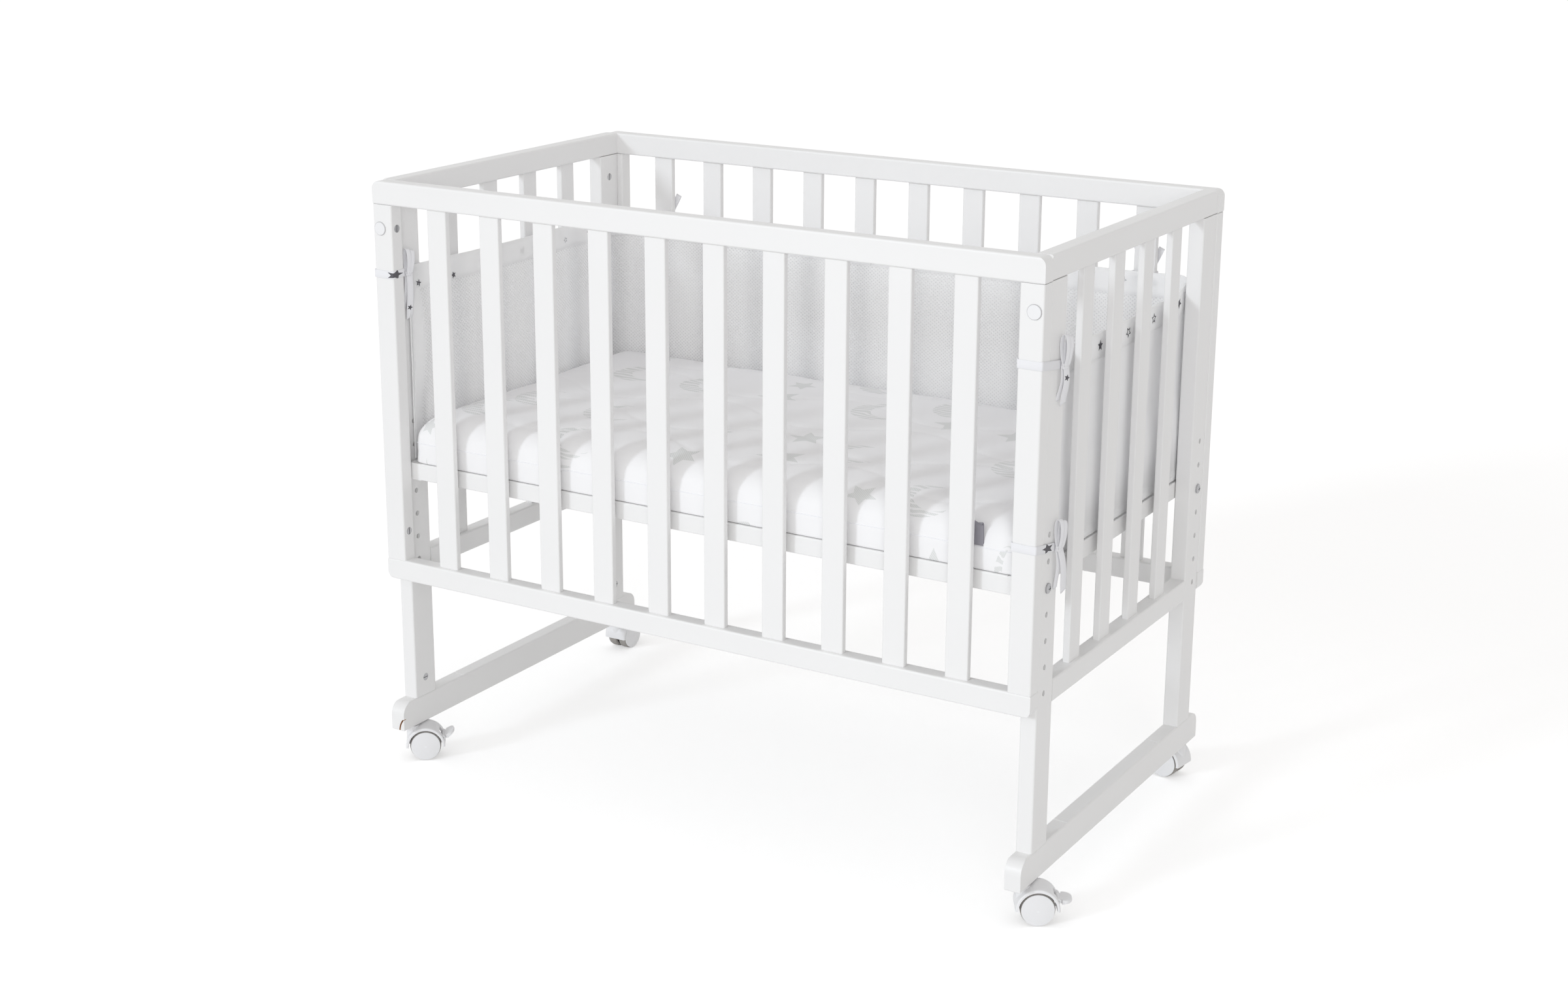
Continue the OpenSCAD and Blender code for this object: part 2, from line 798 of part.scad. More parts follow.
module mattress_label() color([0.62, 0.62, 0.66]) translate(shift)
  translate([label_x, -mattress_front_y - label_t / 2 - 0.1, mattress_z + seam_z + 4 + label_h / 2])
    cube([label_w, label_t, label_h], center = true);

// Fold of hanging cloth: offset from its plane at a distance along it and a height share.
// It fades towards the hems, and towards the ends over a length
function fold_at(s, v, l) = fold * (taut + (1 - taut) * sin(180 * v))
  * min(1, 0.05 + (l / 2 - abs(s)) / fade_l)
  * (0.6 * sin(360 * s / fold_pitch) + 0.4 * sin(360 * s / (fold_pitch * 0.63) + 70));

// Cloth sheet in the XZ plane, centred in X, from z0 up, with folds to both sides
module cloth_sheet(l, z0, z1) {
  n = ceil(l / 14);
  m = 6;
  w = n + 1;
  points = [for (f = [-1, 1], k = [0 : m], i = [0 : n])
    let (s = (i / n - 0.5) * l, v = k / m)
      [s, fold_at(s, v, l) + f * cloth_t / 2, z0 + (z1 - z0) * v]];
  b = w * (m + 1);
  front = [for (k = [0 : m - 1], i = [0 : n - 1])
    let (a = k * w + i)
      each [[a, a + w, a + w + 1], [a, a + w + 1, a + 1]]];
  back = [for (t = front) [t[0] + b, t[2] + b, t[1] + b]];
  low_high = [for (i = [0 : n - 1])
    each let (t = m * w + i)
      [[i, i + 1, i + 1 + b], [i, i + 1 + b, i + b],
       [t, t + b + 1, t + 1], [t, t + b, t + b + 1]]];
  sides = [for (k = [0 : m - 1])
    each let (p = k * w, q = k * w + n)
      [[p, p + w + b, p + w], [p, p + b, p + w + b],
       [q, q + w, q + w + b], [q, q + w + b, q + b]]];
  polyhedron(points, concat(front, back, low_high, sides), convexity = 6);
}

liner_front_y = hole_y + 2;

module liner_end(end, top) {
  l = liner_front_y + liner_back_y - cloth_t - fold - soft_gap;
  translate([end * liner_end_x, l / 2 - liner_front_y, 0])
    rotate([0, 0, -end * 90])
      cloth_sheet(l, liner_low_z, top);
}

module liner_left() color(cloth) translate(shift)
  liner_end(-1, liner_top);

module liner_right() color(cloth) translate(shift)
  liner_end(1, liner_top - right_drop);

module liner_back() color(cloth) translate(shift)
  translate([0, liner_back_y, 0])
    cloth_sheet(2 * liner_end_x, liner_low_z, liner_top);

// Closed band of tape between two outlines
module tape_band(inner, outer) {
  linear_extrude(tape_w, center = true)
    difference() {
      polygon(outer);
      polygon(inner);
    }
}

// Corner post as the tape meets it: the stile in front, the narrower leg behind, g clear of both
function post_outline(g) = [
  [stile_in_x - g, -half_w - g],
  [half_l + g, -half_w - g],
  [half_l + g, g - leg_in_y],
  [leg_in_x - g, g - leg_in_y],
  [leg_in_x - g, g - panel_in_y],
  [stile_in_x - g, g - panel_in_y]];

// Slat of the back panel with the cloth in front of it, g clear of both
function slat_outline(g) = [
  [-slat_w / 2 - g, slat_tie_y - g],
  [slat_w / 2 + g, slat_tie_y - g],
  [slat_w / 2 + g, panel_y + slat_t / 2 + g],
  [-slat_w / 2 - g, panel_y + slat_t / 2 + g]];

// Teardrop seen from its side, d deep and h high, its point at the origin
function loop_points(h, d) = [
  for (i = [0 : 19])
    let (a = 360 * i / 20, w = (1 - cos(a)) / 2)
      [d / 2 - d * 0.62 * sin(a) * (0.35 + 0.65 * w), h * w]];

// Bow facing +X: loops and tape ends leave the knot at their own tilts from upright
module bow(loop_tilts, tail_tilts) {
  knot_r = tape_w / 4;
  for (k = [0, 1]) {
    h = bow_h * (1 - 0.07 * k);
    d = bow_d * (1 - 0.16 * k);
    rotate([loop_tilts[k], 0, 0])
      rotate([90, 0, 0])
        linear_extrude(tape_w * (0.75 - 0.09 * k), center = true)
          difference() {
            polygon(loop_points(h, d));
            translate([0, h * 0.12])
              polygon(loop_points(h - h * 0.12 - tape_t, d - 2.4 * tape_t));
          }
  }
  for (k = [0, 1])
    rotate([tail_tilts[k], 0, 0])
      translate([tape_t * (0.7 + 1.3 * k), 0, -tail_l * (1 - 0.12 * k) / 2])
        cube([tape_t, tape_w * (0.75 - 0.06 * k), tail_l * (1 - 0.12 * k)], center = true);
  translate([knot_r * 0.8, 0, 0])
    rod_y(tape_w * 0.85, knot_r);
}

// Tie round a front corner post: end is -1 for the left one and 1 for the right one
module post_tie(end, z) {
  translate([0, 0, z])
    mirror([end < 0 ? 1 : 0, 0, 0])
      tape_band(post_outline(band_gap), post_outline(band_gap + tape_t));
}

// Tie round the outermost slat of the back panel, its bow behind the slat
module slat_tie(end) {
  x = end * (long_slat_count - 1) / 2 * long_pitch;
  translate([x, 0, tie_high_z]) {
    tape_band(slat_outline(band_gap), slat_outline(band_gap + tape_t));
    translate([0, panel_y + slat_t / 2 + band_gap + tape_t, 0])
      rotate([0, 0, 90])
        bow([-27, 27], [-10, 8]);
  }
}

module liner_ties() color(cloth) translate(shift) {
  post_tie(-1, tie_high_z);
  translate([band_gap + tape_t - leg_in_x, band_gap + tape_t + tape_w * 0.42 - panel_in_y, tie_high_z])
    bow([-1, -4], [0.5, 2]);
  for (z = [tie_low_z, tie_high_z]) {
    post_tie(1, z);
    translate([half_l + band_gap + tape_t, -leg_in_y - 2, z])
      bow([-5, 4], [2, -8]);
  }
  for (end = [-1, 1])
    slat_tie(end);
}

// Castor stems stand fast in sockets in the foot bars
module castor_stems() color(zinc) translate(shift)
  at_corners(castor_x, castor_y)
    difference() {
      union() {
        translate([0, 0, stem_low_z])
          cylinder(h = castor_h + stem_l - stem_low_z, r = stem_r);
        translate([0, 0, castor_h - flange_h])
          cylinder(h = flange_h, r = stem_r + 3);
      }
      translate([0, 0, snap_z])
        ring(1.4, stem_r - 0.7, stem_r + 1);
    }

module castor_sockets() color([0.8, 0.8, 0.8]) translate(shift)
  at_corners(castor_x, castor_y)
    translate([0, 0, castor_h])
      ring(stem_l, stem_r, socket_r);

module ring(h, r_in, r_out) {
  difference() {
    cylinder(h = h, r = r_out);
    translate([0, 0, -1])
      cylinder(h = h + 2, r = r_in);
  }
}

// Castor pieces in their own frame: swivel axis at the origin, axle trailing along +X
module in_castor(end, side, turn) {
  translate(shift)
    translate([end * castor_x, side * castor_y, 0])
      rotate([0, 0, turn])
        children();
}

// Flat outline seen along the axle, pushed through to a width
module along_axle(w) {
  translate([trail, 0, wheel_r])
    rotate([90, 0, 0])
      linear_extrude(w, center = true)
        children();
}

module upper_half(r, low) {
  translate([-r, low])
    square([2 * r, r - low + 1]);
}

// Arch over both wheels, turned about the axle with round outer edges
module hood_arch() {
  intersection() {
    translate([trail, 0, wheel_r])
      rotate([90, 0, 0])
        rotate_extrude()
          hood_section();
    translate([trail, 0, wheel_r + hood_out_r / 2 + 1 - hood_drop])
      cube([2 * hood_out_r + 2, twin_w + 2, hood_out_r + 2], center = true);
  }
}

module hood_section() {
  translate([hood_in_r, -twin_w / 2])
    square([hood_t - hood_edge_r, twin_w]);
  translate([hood_in_r, hood_edge_r - twin_w / 2])
    square([hood_t, twin_w - 2 * hood_edge_r]);
  for (s = [-1, 1])
    translate([hood_out_r - hood_edge_r, s * (twin_w / 2 - hood_edge_r)])
      circle(r = hood_edge_r);
}

module hood_fin() {
  circle(r = hub_r + 3);
  intersection() {
    circle(r = hood_in_r + 0.5);
    upper_half(hood_out_r, -hood_drop);
  }
}

module hood_ear() {
  translate([pivot_u, pivot_v])
    circle(r = ear_r);
}

module hood_neck() {
  difference() {
    translate([0, 0, wheel_r + 4])
      cylinder(h = neck_top_z - wheel_r - 4, r = neck_r);
    along_axle(twin_w)
      circle(r = hood_in_r - 0.7);
  }
}

module hood() {
  difference() {
    union() {
      hood_arch();
      along_axle(fin_t)
        hood_fin();
      for (s = [-1, 1])
        translate([0, s * (arm_w / 2 + slot_gap + ear_w / 2), 0])
          along_axle(ear_w)
            hood_ear();
      hood_neck();
    }
    translate([0, 0, stem_low_z - 0.5])
      ring_free_bore();
    along_axle(twin_w + 2)
      circle(r = axle_r + run_gap);
    along_axle(arm_w + 2 * slot_gap)
      lever_slot();
    along_axle(arm_w + 2 * slot_gap + 2 * ear_w + 1)
      translate([pivot_u, pivot_v])
        circle(r = pin_r + run_gap);
  }
}

// Bore for the stem with the narrow lip that snaps into its groove
module ring_free_bore() {
  difference() {
    cylinder(h = castor_h, r = stem_r + run_gap);
    translate([0, 0, snap_z + 0.5 - stem_low_z + 0.3])
      ring(0.8, stem_r - 0.45, stem_r + 1);
  }
}

// Opening in the arch through which the lever reaches
module lever_slot() {
  difference() {
    intersection() {
      circle(r = hood_out_r + 6);
      polygon([
        [wheel_r * 0.8 * cos(4), wheel_r * 0.8 * sin(4)],
        [3 * wheel_r * cos(4), 3 * wheel_r * sin(4)],
        [3 * wheel_r * cos(44), 3 * wheel_r * sin(44)],
        [wheel_r * 0.8 * cos(44), wheel_r * 0.8 * sin(44)]]);
    }
    circle(r = wheel_r - 1);
  }
}

module axle() {
  along_axle(twin_w - wheel_wall_t)
    circle(r = axle_r);
}

// Half section of a wheel: a cup with a hub, a tread with round shoulders and a domed cover
module wheel_section() {
  tread_w = wheel_w - cover_t;
  intersection() {
    difference() {
      union() {
        translate([0, tread_edge_r])
          square([wheel_r, tread_w - 2 * tread_edge_r]);
        square([wheel_r - tread_edge_r, tread_w]);
        for (y = [tread_edge_r, tread_w - tread_edge_r])
          translate([wheel_r - tread_edge_r, y])
            circle(r = tread_edge_r);
        translate([0, tread_w - 1])
          square([cover_r, cover_t + 1 - cover_edge_r]);
        translate([0, tread_w - 1])
          square([cover_r - cover_edge_r, cover_t + 1]);
        translate([cover_r - cover_edge_r, wheel_w - cover_edge_r])
          circle(r = cover_edge_r);
      }
      translate([hub_r, -1])
        square([wheel_r - tread_t - hub_r, wheel_w - wheel_wall_t + 1]);
      translate([-1, -1])
        square([axle_r + 1, wheel_w - wheel_wall_t / 2 + 1]);
    }
    translate([0, wheel_w - dome_r])
      circle(r = dome_r, $fn = 720);
  }
}

module wheels() {
  translate([trail, 0, wheel_r])
    for (s = [-1, 1])
      rotate([-s * 90, 0, 0])
        translate([0, 0, wheel_gap])
          rotate_extrude()
            wheel_section();
}

// Brake lever, pressed down onto the treads at 0 and free when lifted
module brake(lift) {
  translate([trail + pivot_u, 0, wheel_r + pivot_v])
    rotate([0, -lift, 0])
      union() {
        rod_y(arm_w - 1, barrel_r);
        rod_y(arm_w + 2 * pin_l, pin_r);
        rotate([0, -lever_rest, 0])
          lever_plate();
        brake_shoe();
      }
}

// Plate of the lever, lying along +X from its pivot: round in plan and thick at its root
module lever_plate() {
  reach = lever_reach - pivot_u;
  intersection() {
    translate([0, 0, -lever_t - 1])
      linear_extrude(2 * lever_t + 1) {
        translate([-lever_root_l, -arm_w / 2])
          square([lever_root_l + lever_neck_l + 1, arm_w]);
        translate([lever_neck_l + (reach - lever_neck_l) / 2, 0])
          lever_tip(reach - lever_neck_l);
      }
    rotate([90, 0, 0])
      linear_extrude(lever_w + 2, center = true)
        lever_side(reach);
  }
}

module lever_side(reach) {
  polygon([
    [-lever_root_l - 1, lever_t / 2],
    [reach + 1, lever_t / 2],
    [reach + 1, -lever_tip_t / 2],
    [lever_neck_l, -lever_t],
    [-lever_root_l - 1, -lever_t]]);
}

module lever_tip(l) {
  intersection() {
    union() {
      translate([-l / 2, -lever_w / 2])
        square([l - lever_corner_r, lever_w]);
      translate([-l / 2, lever_corner_r - lever_w / 2])
        square([l, lever_w - 2 * lever_corner_r]);
      for (s = [-1, 1])
        translate([l / 2 - lever_corner_r, s * (lever_w / 2 - lever_corner_r)])
          circle(r = lever_corner_r);
    }
    translate([-l / 2, -lever_w / 2])
      square([l + 1, lever_w]);
  }
}

// Shoe that the lever swings towards the treads
module brake_shoe() {
  shoe_r = 1.6;
  away = pivot_r - wheel_r - 0.4 - shoe_r;
  translate([-away * cos(pivot_a), 0, -away * sin(pivot_a)])
    rod_y(arm_w - 2, shoe_r);
}

// Named pieces
module front_top_rail() color(lacquer) translate(shift) panel_top_rail(-1);
module front_bottom_rail() color(lacquer) translate(shift) panel_bottom_rail(-1);
module front_left_stile() color(lacquer) translate(shift) front_stile(-1);
module front_right_stile() color(lacquer) translate(shift) front_stile(1);
module front_slats() color(lacquer) translate(shift) panel_slats(-1);
module back_top_rail() color(lacquer) translate(shift) panel_top_rail(1);
module back_bottom_rail() color(lacquer) translate(shift) panel_bottom_rail(1);
module back_left_stile() color(lacquer) translate(shift) back_stile(-1);
module back_right_stile() color(lacquer) translate(shift) back_stile(1);
module back_slats() color(lacquer) translate(shift) panel_slats(1);
module left_top_rail() color(lacquer) translate(shift) end_top_rail(-1);
module left_bottom_rail() color(lacquer) translate(shift) end_bottom_rail(-1);
module left_front_leg() color(lacquer) translate(shift) leg(-1, -1);
module left_back_leg() color(lacquer) translate(shift) leg(-1, 1);
module left_slats() color(lacquer) translate(shift) end_frame_slats(-1);
module left_foot_bar() color(lacquer) translate(shift)
  difference() {
    foot_bar(-1);
    translate([slit_r - slit_x, -foot_l / 2, castor_h])
      rotate([90, 0, 0])
        linear_extrude(2 * slit_d, center = true)
          end_slit();
  }

// Curved slit of bare wood in the front end of the left foot bar
module end_slit() {
  intersection() {
    difference() {
      circle(r = slit_r + slit_w / 2);
      circle(r = slit_r - slit_w / 2);
    }
    translate([-slit_r - slit_w, -slit_h])
      square([slit_r, 2 * slit_h]);
  }
}

module right_top_rail() color(lacquer) translate(shift) end_top_rail(1);
module right_bottom_rail() color(lacquer) translate(shift) end_bottom_rail(1);
module right_front_leg() color(lacquer) translate(shift) leg(1, -1);
module right_back_leg() color(lacquer) translate(shift) leg(1, 1);
module right_slats() color(lacquer) translate(shift) end_frame_slats(1);
module right_foot_bar() color(lacquer) translate(shift) foot_bar(1);
module base_front_rail() color(lacquer) translate(shift) base_long_rail(-1);
module base_back_rail() color(lacquer) translate(shift) base_long_rail(1);
module base_left_rail() color(lacquer) translate(shift) base_end_rail(-1);
module base_right_rail() color(lacquer) translate(shift) base_end_rail(1);
module base_slats() color(lacquer) translate(shift)
  base_row()
    cube([base_slat_w, base_slat_l, base_slat_t], center = true);

module front_left_hood() color(plastic) in_castor(-1, -1, front_left_turn) hood();
module front_left_axle() color(zinc) in_castor(-1, -1, front_left_turn) axle();
module front_left_wheels() color(plastic) in_castor(-1, -1, front_left_turn) wheels();
module front_left_brake() color(plastic) in_castor(-1, -1, front_left_turn) brake(lever_swing);
module front_right_hood() color(plastic) in_castor(1, -1, front_right_turn) hood();
module front_right_axle() color(zinc) in_castor(1, -1, front_right_turn) axle();
module front_right_wheels() color(plastic) in_castor(1, -1, front_right_turn) wheels();
module front_right_brake() color(plastic) in_castor(1, -1, front_right_turn) brake(0);
module back_left_hood() color(plastic) in_castor(-1, 1, back_left_turn) hood();
module back_left_axle() color(zinc) in_castor(-1, 1, back_left_turn) axle();
module back_left_wheels() color(plastic) in_castor(-1, 1, back_left_turn) wheels();
module back_left_brake() color(plastic) in_castor(-1, 1, back_left_turn) brake(0);
module back_right_hood() color(plastic) in_castor(1, 1, back_right_turn) hood();
module back_right_axle() color(zinc) in_castor(1, 1, back_right_turn) axle();
module back_right_wheels() color(plastic) in_castor(1, 1, back_right_turn) wheels();
module back_right_brake() color(plastic) in_castor(1, 1, back_right_turn) brake(0);

front_top_rail();
front_bottom_rail();
front_left_stile();
front_right_stile();
front_slats();
back_top_rail();
back_bottom_rail();
back_left_stile();
back_right_stile();
back_slats();
left_top_rail();
left_bottom_rail();
left_front_leg();
left_back_leg();
left_slats();
left_foot_bar();
right_top_rail();
right_bottom_rail();
right_front_leg();
right_back_leg();
right_slats();
right_foot_bar();
dowels();
base_front_rail();
base_back_rail();
base_left_rail();
base_right_rail();
base_slats();
base_bolts();
base_nuts();
panel_bolts();
panel_nuts();
bolt_caps();
foot_bolts();
foot_nuts();
mattress();
mattress_label();
liner_left();
liner_back();
liner_right();
liner_ties();
castor_stems();
castor_sockets();
front_left_hood();
front_left_axle();
front_left_wheels();
front_left_brake();
front_right_hood();
front_right_axle();
front_right_wheels();
front_right_brake();
back_left_hood();
back_left_axle();
back_left_wheels();
back_left_brake();
back_right_hood();
back_right_axle();
back_right_wheels();
back_right_brake();
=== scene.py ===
import json
import math

import bmesh
import bpy
import numpy as np
from bpy.props import FloatProperty, FloatVectorProperty, PointerProperty
from mathutils import Matrix, Vector
from mathutils.bvhtree import BVHTree

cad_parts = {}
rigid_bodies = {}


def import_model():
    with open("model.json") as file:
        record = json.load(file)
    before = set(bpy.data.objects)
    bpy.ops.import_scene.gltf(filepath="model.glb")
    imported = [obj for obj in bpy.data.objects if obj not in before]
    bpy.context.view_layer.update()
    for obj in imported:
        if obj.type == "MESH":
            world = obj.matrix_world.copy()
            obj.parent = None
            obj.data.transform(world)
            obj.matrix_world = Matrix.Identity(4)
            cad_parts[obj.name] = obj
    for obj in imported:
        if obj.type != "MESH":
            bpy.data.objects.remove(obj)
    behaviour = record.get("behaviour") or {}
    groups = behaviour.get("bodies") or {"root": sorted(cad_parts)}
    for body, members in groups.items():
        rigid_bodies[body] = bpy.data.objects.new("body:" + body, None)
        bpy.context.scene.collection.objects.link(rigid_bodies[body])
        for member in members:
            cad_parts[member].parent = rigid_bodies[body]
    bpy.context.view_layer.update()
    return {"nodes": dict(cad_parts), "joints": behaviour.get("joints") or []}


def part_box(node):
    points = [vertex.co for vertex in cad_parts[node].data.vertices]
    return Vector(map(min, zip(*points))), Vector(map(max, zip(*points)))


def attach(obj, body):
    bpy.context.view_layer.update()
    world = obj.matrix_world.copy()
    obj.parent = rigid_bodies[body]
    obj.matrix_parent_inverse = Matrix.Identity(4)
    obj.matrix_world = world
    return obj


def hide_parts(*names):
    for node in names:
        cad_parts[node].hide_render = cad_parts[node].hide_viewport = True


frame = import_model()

bl_info = {
    "name": "Bedside cot looks",
    "version": (1, 0, 0),
    "blender": (4, 5, 0),
    "location": "3D View > Sidebar > Cot",
    "description": "Finishes the timber, metal and plastic of a bedside cot and makes its mattress, "
                   "liner and ties",
    "category": "Object",
}

UP = np.array((0.0, 0.0, 1.0))

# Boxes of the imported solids, in metres
MATTRESS_LOW, MATTRESS_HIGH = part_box("mattress")
PAD_CENTRE = (MATTRESS_LOW + MATTRESS_HIGH) / 2
PAD_HALF = (np.array(MATTRESS_HIGH) - np.array(MATTRESS_LOW)) / 2
LINER_LEFT, LINER_BACK, LINER_RIGHT = (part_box("liner_" + side) for side in ("left", "back", "right"))
LEFT_LEG, RIGHT_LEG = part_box("left_front_leg"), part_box("right_front_leg")
LEFT_STILE, RIGHT_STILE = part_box("front_left_stile"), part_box("front_right_stile")
BACK_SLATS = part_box("back_slats")
FOOT_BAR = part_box("left_foot_bar")
MID_X = (LEFT_LEG[0].x + RIGHT_LEG[1].x) / 2


# ---------------------------------------------------------------- settings

def length(about, value):
    return FloatProperty(description=about, default=value, min=0.0, unit="LENGTH", precision=4)


def angle(about, degrees):
    return FloatProperty(description=about, default=math.radians(degrees), subtype="ANGLE")


def level(about, value):
    return FloatProperty(description=about, default=value, min=0.0, max=20.0)


def colour(about, value):
    return FloatVectorProperty(description=about, default=value, min=0.0, max=1.0, subtype="COLOR")


class CotFinishes(bpy.types.PropertyGroup):
    lacquer: colour("White lacquer on the timber", (0.876, 0.872, 0.868))
    bare_wood: colour("Timber inside slits and on dowels", (0.50, 0.27, 0.12))
    zinc: colour("Plated steel of bolts, nuts and axles", (0.45, 0.45, 0.46))
    plastic: colour("White moulded plastic of caps, hoods and levers", (0.86, 0.86, 0.87))
    tread: colour("Soft grey ring of the wheels", (0.36, 0.34, 0.32))
    mattress: colour("White knitted cover", (0.925, 0.92, 0.925))
    motif: colour("Stars and moons knitted into the cover", (0.735, 0.745, 0.735))
    cloth: colour("White cotton of hems, outsides and ties", (0.945, 0.945, 0.97))
    net: colour("Threads of the airy net", (0.95, 0.95, 0.97))
    net_hole_shade: colour("Shade seen in the holes of the net", (0.74, 0.735, 0.755))
    print_tone: colour("Dark grey of the printed stars", (0.085, 0.082, 0.092))
    pale_print: colour("Pale grey of the stars printed in outline", (0.42, 0.42, 0.44))
    tag: colour("Grey woven tag", (0.34, 0.33, 0.37))


class CotMattress(bpy.types.PropertyGroup):
    inset: length("How much smaller the pad starts before it swells", 0.0015)
    voxel: length("Size of the remeshed cells", 0.0065)
    pressure: level("Air pressure while the pad swells", 4.0)
    swell: length("Furthest that a point of the pad may move", 0.005)
    corner: length("Rounding of the corners seen from above", 0.006)
    top_edge: length("Rounding of the upper edge", 0.030)
    low_edge: length("Rounding of the lower edge before it is softened", 0.0025)
    flare: length("How much the front corners bulge past the liner", 0.0036)
    crown: length("Rise of the middle above the rim", 0.004)
    seam: length("Side seam above the underside", 0.028)
    quilt_pitch: length("Distance between quilting lines", 0.092)
    quilt_wave: length("Length of a quilting wave", 0.30)
    quilt_swing: length("Sideways swing of a quilting line", 0.030)
    quilt_depth: length("How far the thread pulls the cover in", 0.0010)
    stitch: length("Length of a quilting stitch", 0.0034)


class CotLiner(bpy.types.PropertyGroup):
    corner: length("Radius of the cloth at the back corners", 0.030)
    hem: length("Width of the plain band along the top", 0.032)
    low_hem: length("Width of the bottom hem", 0.011)
    edge: length("Width of the binding at both front ends", 0.016)
    cloth: length("Thickness of the cloth", 0.0011)
    hem_cloth: length("Thickness of the folded hems", 0.0018)
    fold: length("Depth of the folds above the mattress", 0.0048)
    fold_pitch: length("Rough distance between folds", 0.105)
    slack: length("How far the cloth bulges beside its left front edge", 0.009)
    droop: length("How far the cloth hangs below its solid's lower edge", 0.0055)
    lift: length("How far the back right corner stands up", 0.006)
    net_pitch: length("Distance between holes along the net", 0.0058)
    star: length("Radius of a star inside", 0.0049)
    stitch: length("Length of a hem stitch", 0.0024)


class CotTies(bpy.types.PropertyGroup):
    width: length("Width of the tie tapes", 0.0102)
    thickness: length("Thickness of the tie tapes", 0.0009)
    bow: length("Height of a bow loop", 0.036)
    tail: length("Length of the loose ends", 0.048)


class CotStage(bpy.types.PropertyGroup):
    sky: level("Even light from all round", 0.625)
    key: level("Soft light from the front left", 0.23)
    key_turn: angle("Key light's angle left of the front", 24)
    key_rise: angle("Key light's height above the horizon", 19)
    key_soft: angle("Key light's width seen from the cot", 10)
    fill: level("Soft light from beside the camera", 0.14)
    fill_turn: angle("Fill light's angle right of the front", 33)
    fill_rise: angle("Fill light's height above the horizon", 14)
    fill_soft: angle("Fill light's width seen from the cot", 20)
    near: level("Light of the wide softbox in front, on a face one metre away", 0.19)
    near_place: FloatVectorProperty(description="Where the near softbox hangs", default=(0.20, -1.5, 1.0),
                                    unit="LENGTH")
    floor: colour("Pale studio floor", (0.90, 0.90, 0.90))
    floor_lift: level("Glow that makes the lit floor plain white for the camera", 0.38)


# ---------------------------------------------------------------- node wiring

class Field:
    """An output in a node tree. Arithmetic on it adds Math nodes."""

    def __init__(self, wiring, socket):
        self.wiring, self.socket = wiring, socket

    def of(self, operation, other=None):
        return self.wiring.math(operation, self, other)

    def __add__(self, other):
        return self.of("ADD", other)

    def __sub__(self, other):
        return self.of("SUBTRACT", other)

    def __rsub__(self, other):
        return self.wiring.math("SUBTRACT", other, self)

    def __mul__(self, other):
        return self.of("MULTIPLY", other)

    def __lt__(self, other):
        return self.of("LESS_THAN", other)

    def __gt__(self, other):
        return self.of("GREATER_THAN", other)


class Wiring:
    """Adds nodes to a tree and joins them: numbers go on sockets, and outputs are linked."""

    def __init__(self, tree):
        self.tree = tree

    def put(self, socket, value):
        if isinstance(value, Field):
            value = value.socket
        if isinstance(value, bpy.types.NodeSocket):
            self.tree.links.new(value, socket)
        elif value is not None:
            socket.default_value = value

    def node(self, kind, inputs=None, **settings):
        made = self.tree.nodes.new(kind)
        for name, value in settings.items():
            setattr(made, name, value)
        for key, value in (inputs or {}).items():
            self.put(made.inputs[key], value)
        return made

    def math(self, operation, a, b=None):
        return Field(self, self.node("ShaderNodeMath", {0: a, 1: b}, operation=operation).outputs[0])

    def vector(self, operation, a, b=None):
        made = self.node("ShaderNodeVectorMath", {0: a, 1: b}, operation=operation)
        return Field(self, made.outputs["Value" if operation in ("DOT_PRODUCT", "LENGTH") else "Vector"])

    def split(self, vector):
        return [Field(self, s) for s in self.node("ShaderNodeSeparateXYZ", {0: vector}).outputs]

    def ramp(self, value, low, high, out_low=0.0, out_high=1.0, kind="SMOOTHSTEP"):
        return Field(self, self.node("ShaderNodeMapRange", {
            "Value": value, "From Min": low, "From Max": high, "To Min": out_low, "To Max": out_high},
            interpolation_type=kind).outputs[0])

    def seen_by_eye(self):
        """1 for rays that show the surface itself or its mirror image, and 0 for rays that light others."""
        path = self.node("ShaderNodeLightPath").outputs
        seen = self.math("MAXIMUM", path["Is Camera Ray"], path["Is Glossy Ray"])
        return seen.of("MAXIMUM", path["Is Transmission Ray"])


class Surface(Wiring):
    """The wiring of a new material, whose textures lie in the object's own coordinates."""

    def __init__(self, name):
        self.material = bpy.data.materials.new(name)
        self.material.use_nodes = True
        super().__init__(self.material.node_tree)
        self.shader = self.tree.nodes["Principled BSDF"]
        self.where = self.node("ShaderNodeTexCoord").outputs["Object"]

    def uv(self):
        return self.split(self.node("ShaderNodeUVMap").outputs[0])[:2]

    def scaled(self, scale):
        return self.node("ShaderNodeMapping", {"Vector": self.where, "Scale": scale}).outputs[0]

    def stretched(self, axis, across, along):
        return self.scaled([along if a == axis else across for a in "xyz"])

    def noise(self, scale, detail=3.0, rough=0.5, place=None):
        return Field(self, self.node("ShaderNodeTexNoise", {
            "Vector": self.where if place is None else place, "Scale": scale, "Detail": detail,
            "Roughness": rough}).outputs["Fac"])

    def blend(self, factor, a, b):
        made = self.node("ShaderNodeMix", data_type="RGBA")
        ends = [s for s in made.inputs if s.enabled and s.name in ("Factor", "A", "B")]
        for socket, value in zip(ends, (factor, a, b)):
            self.put(socket, value)
        return Field(self, next(s for s in made.outputs if s.enabled))

    def shades(self, factor, tone, low, high):
        return self.blend(factor, rgba(tone, low), rgba(tone, high))

    def bump(self, height, strength, distance, after=None):
        return self.node("ShaderNodeBump", {
            "Height": height, "Strength": strength, "Distance": distance, "Normal": after}).outputs[0]

    def dress(self, **inputs):
        """Sets inputs of the Principled node. Their names have _ for each space."""
        for name, value in inputs.items():
            self.put(self.shader.inputs[name.replace("_", " ")], value)
        return self

    def paint_over(self, mask, tone):
        base = self.shader.inputs["Base Color"]
        self.put(base, self.blend(mask, base.links[0].from_socket, tone))
        return self


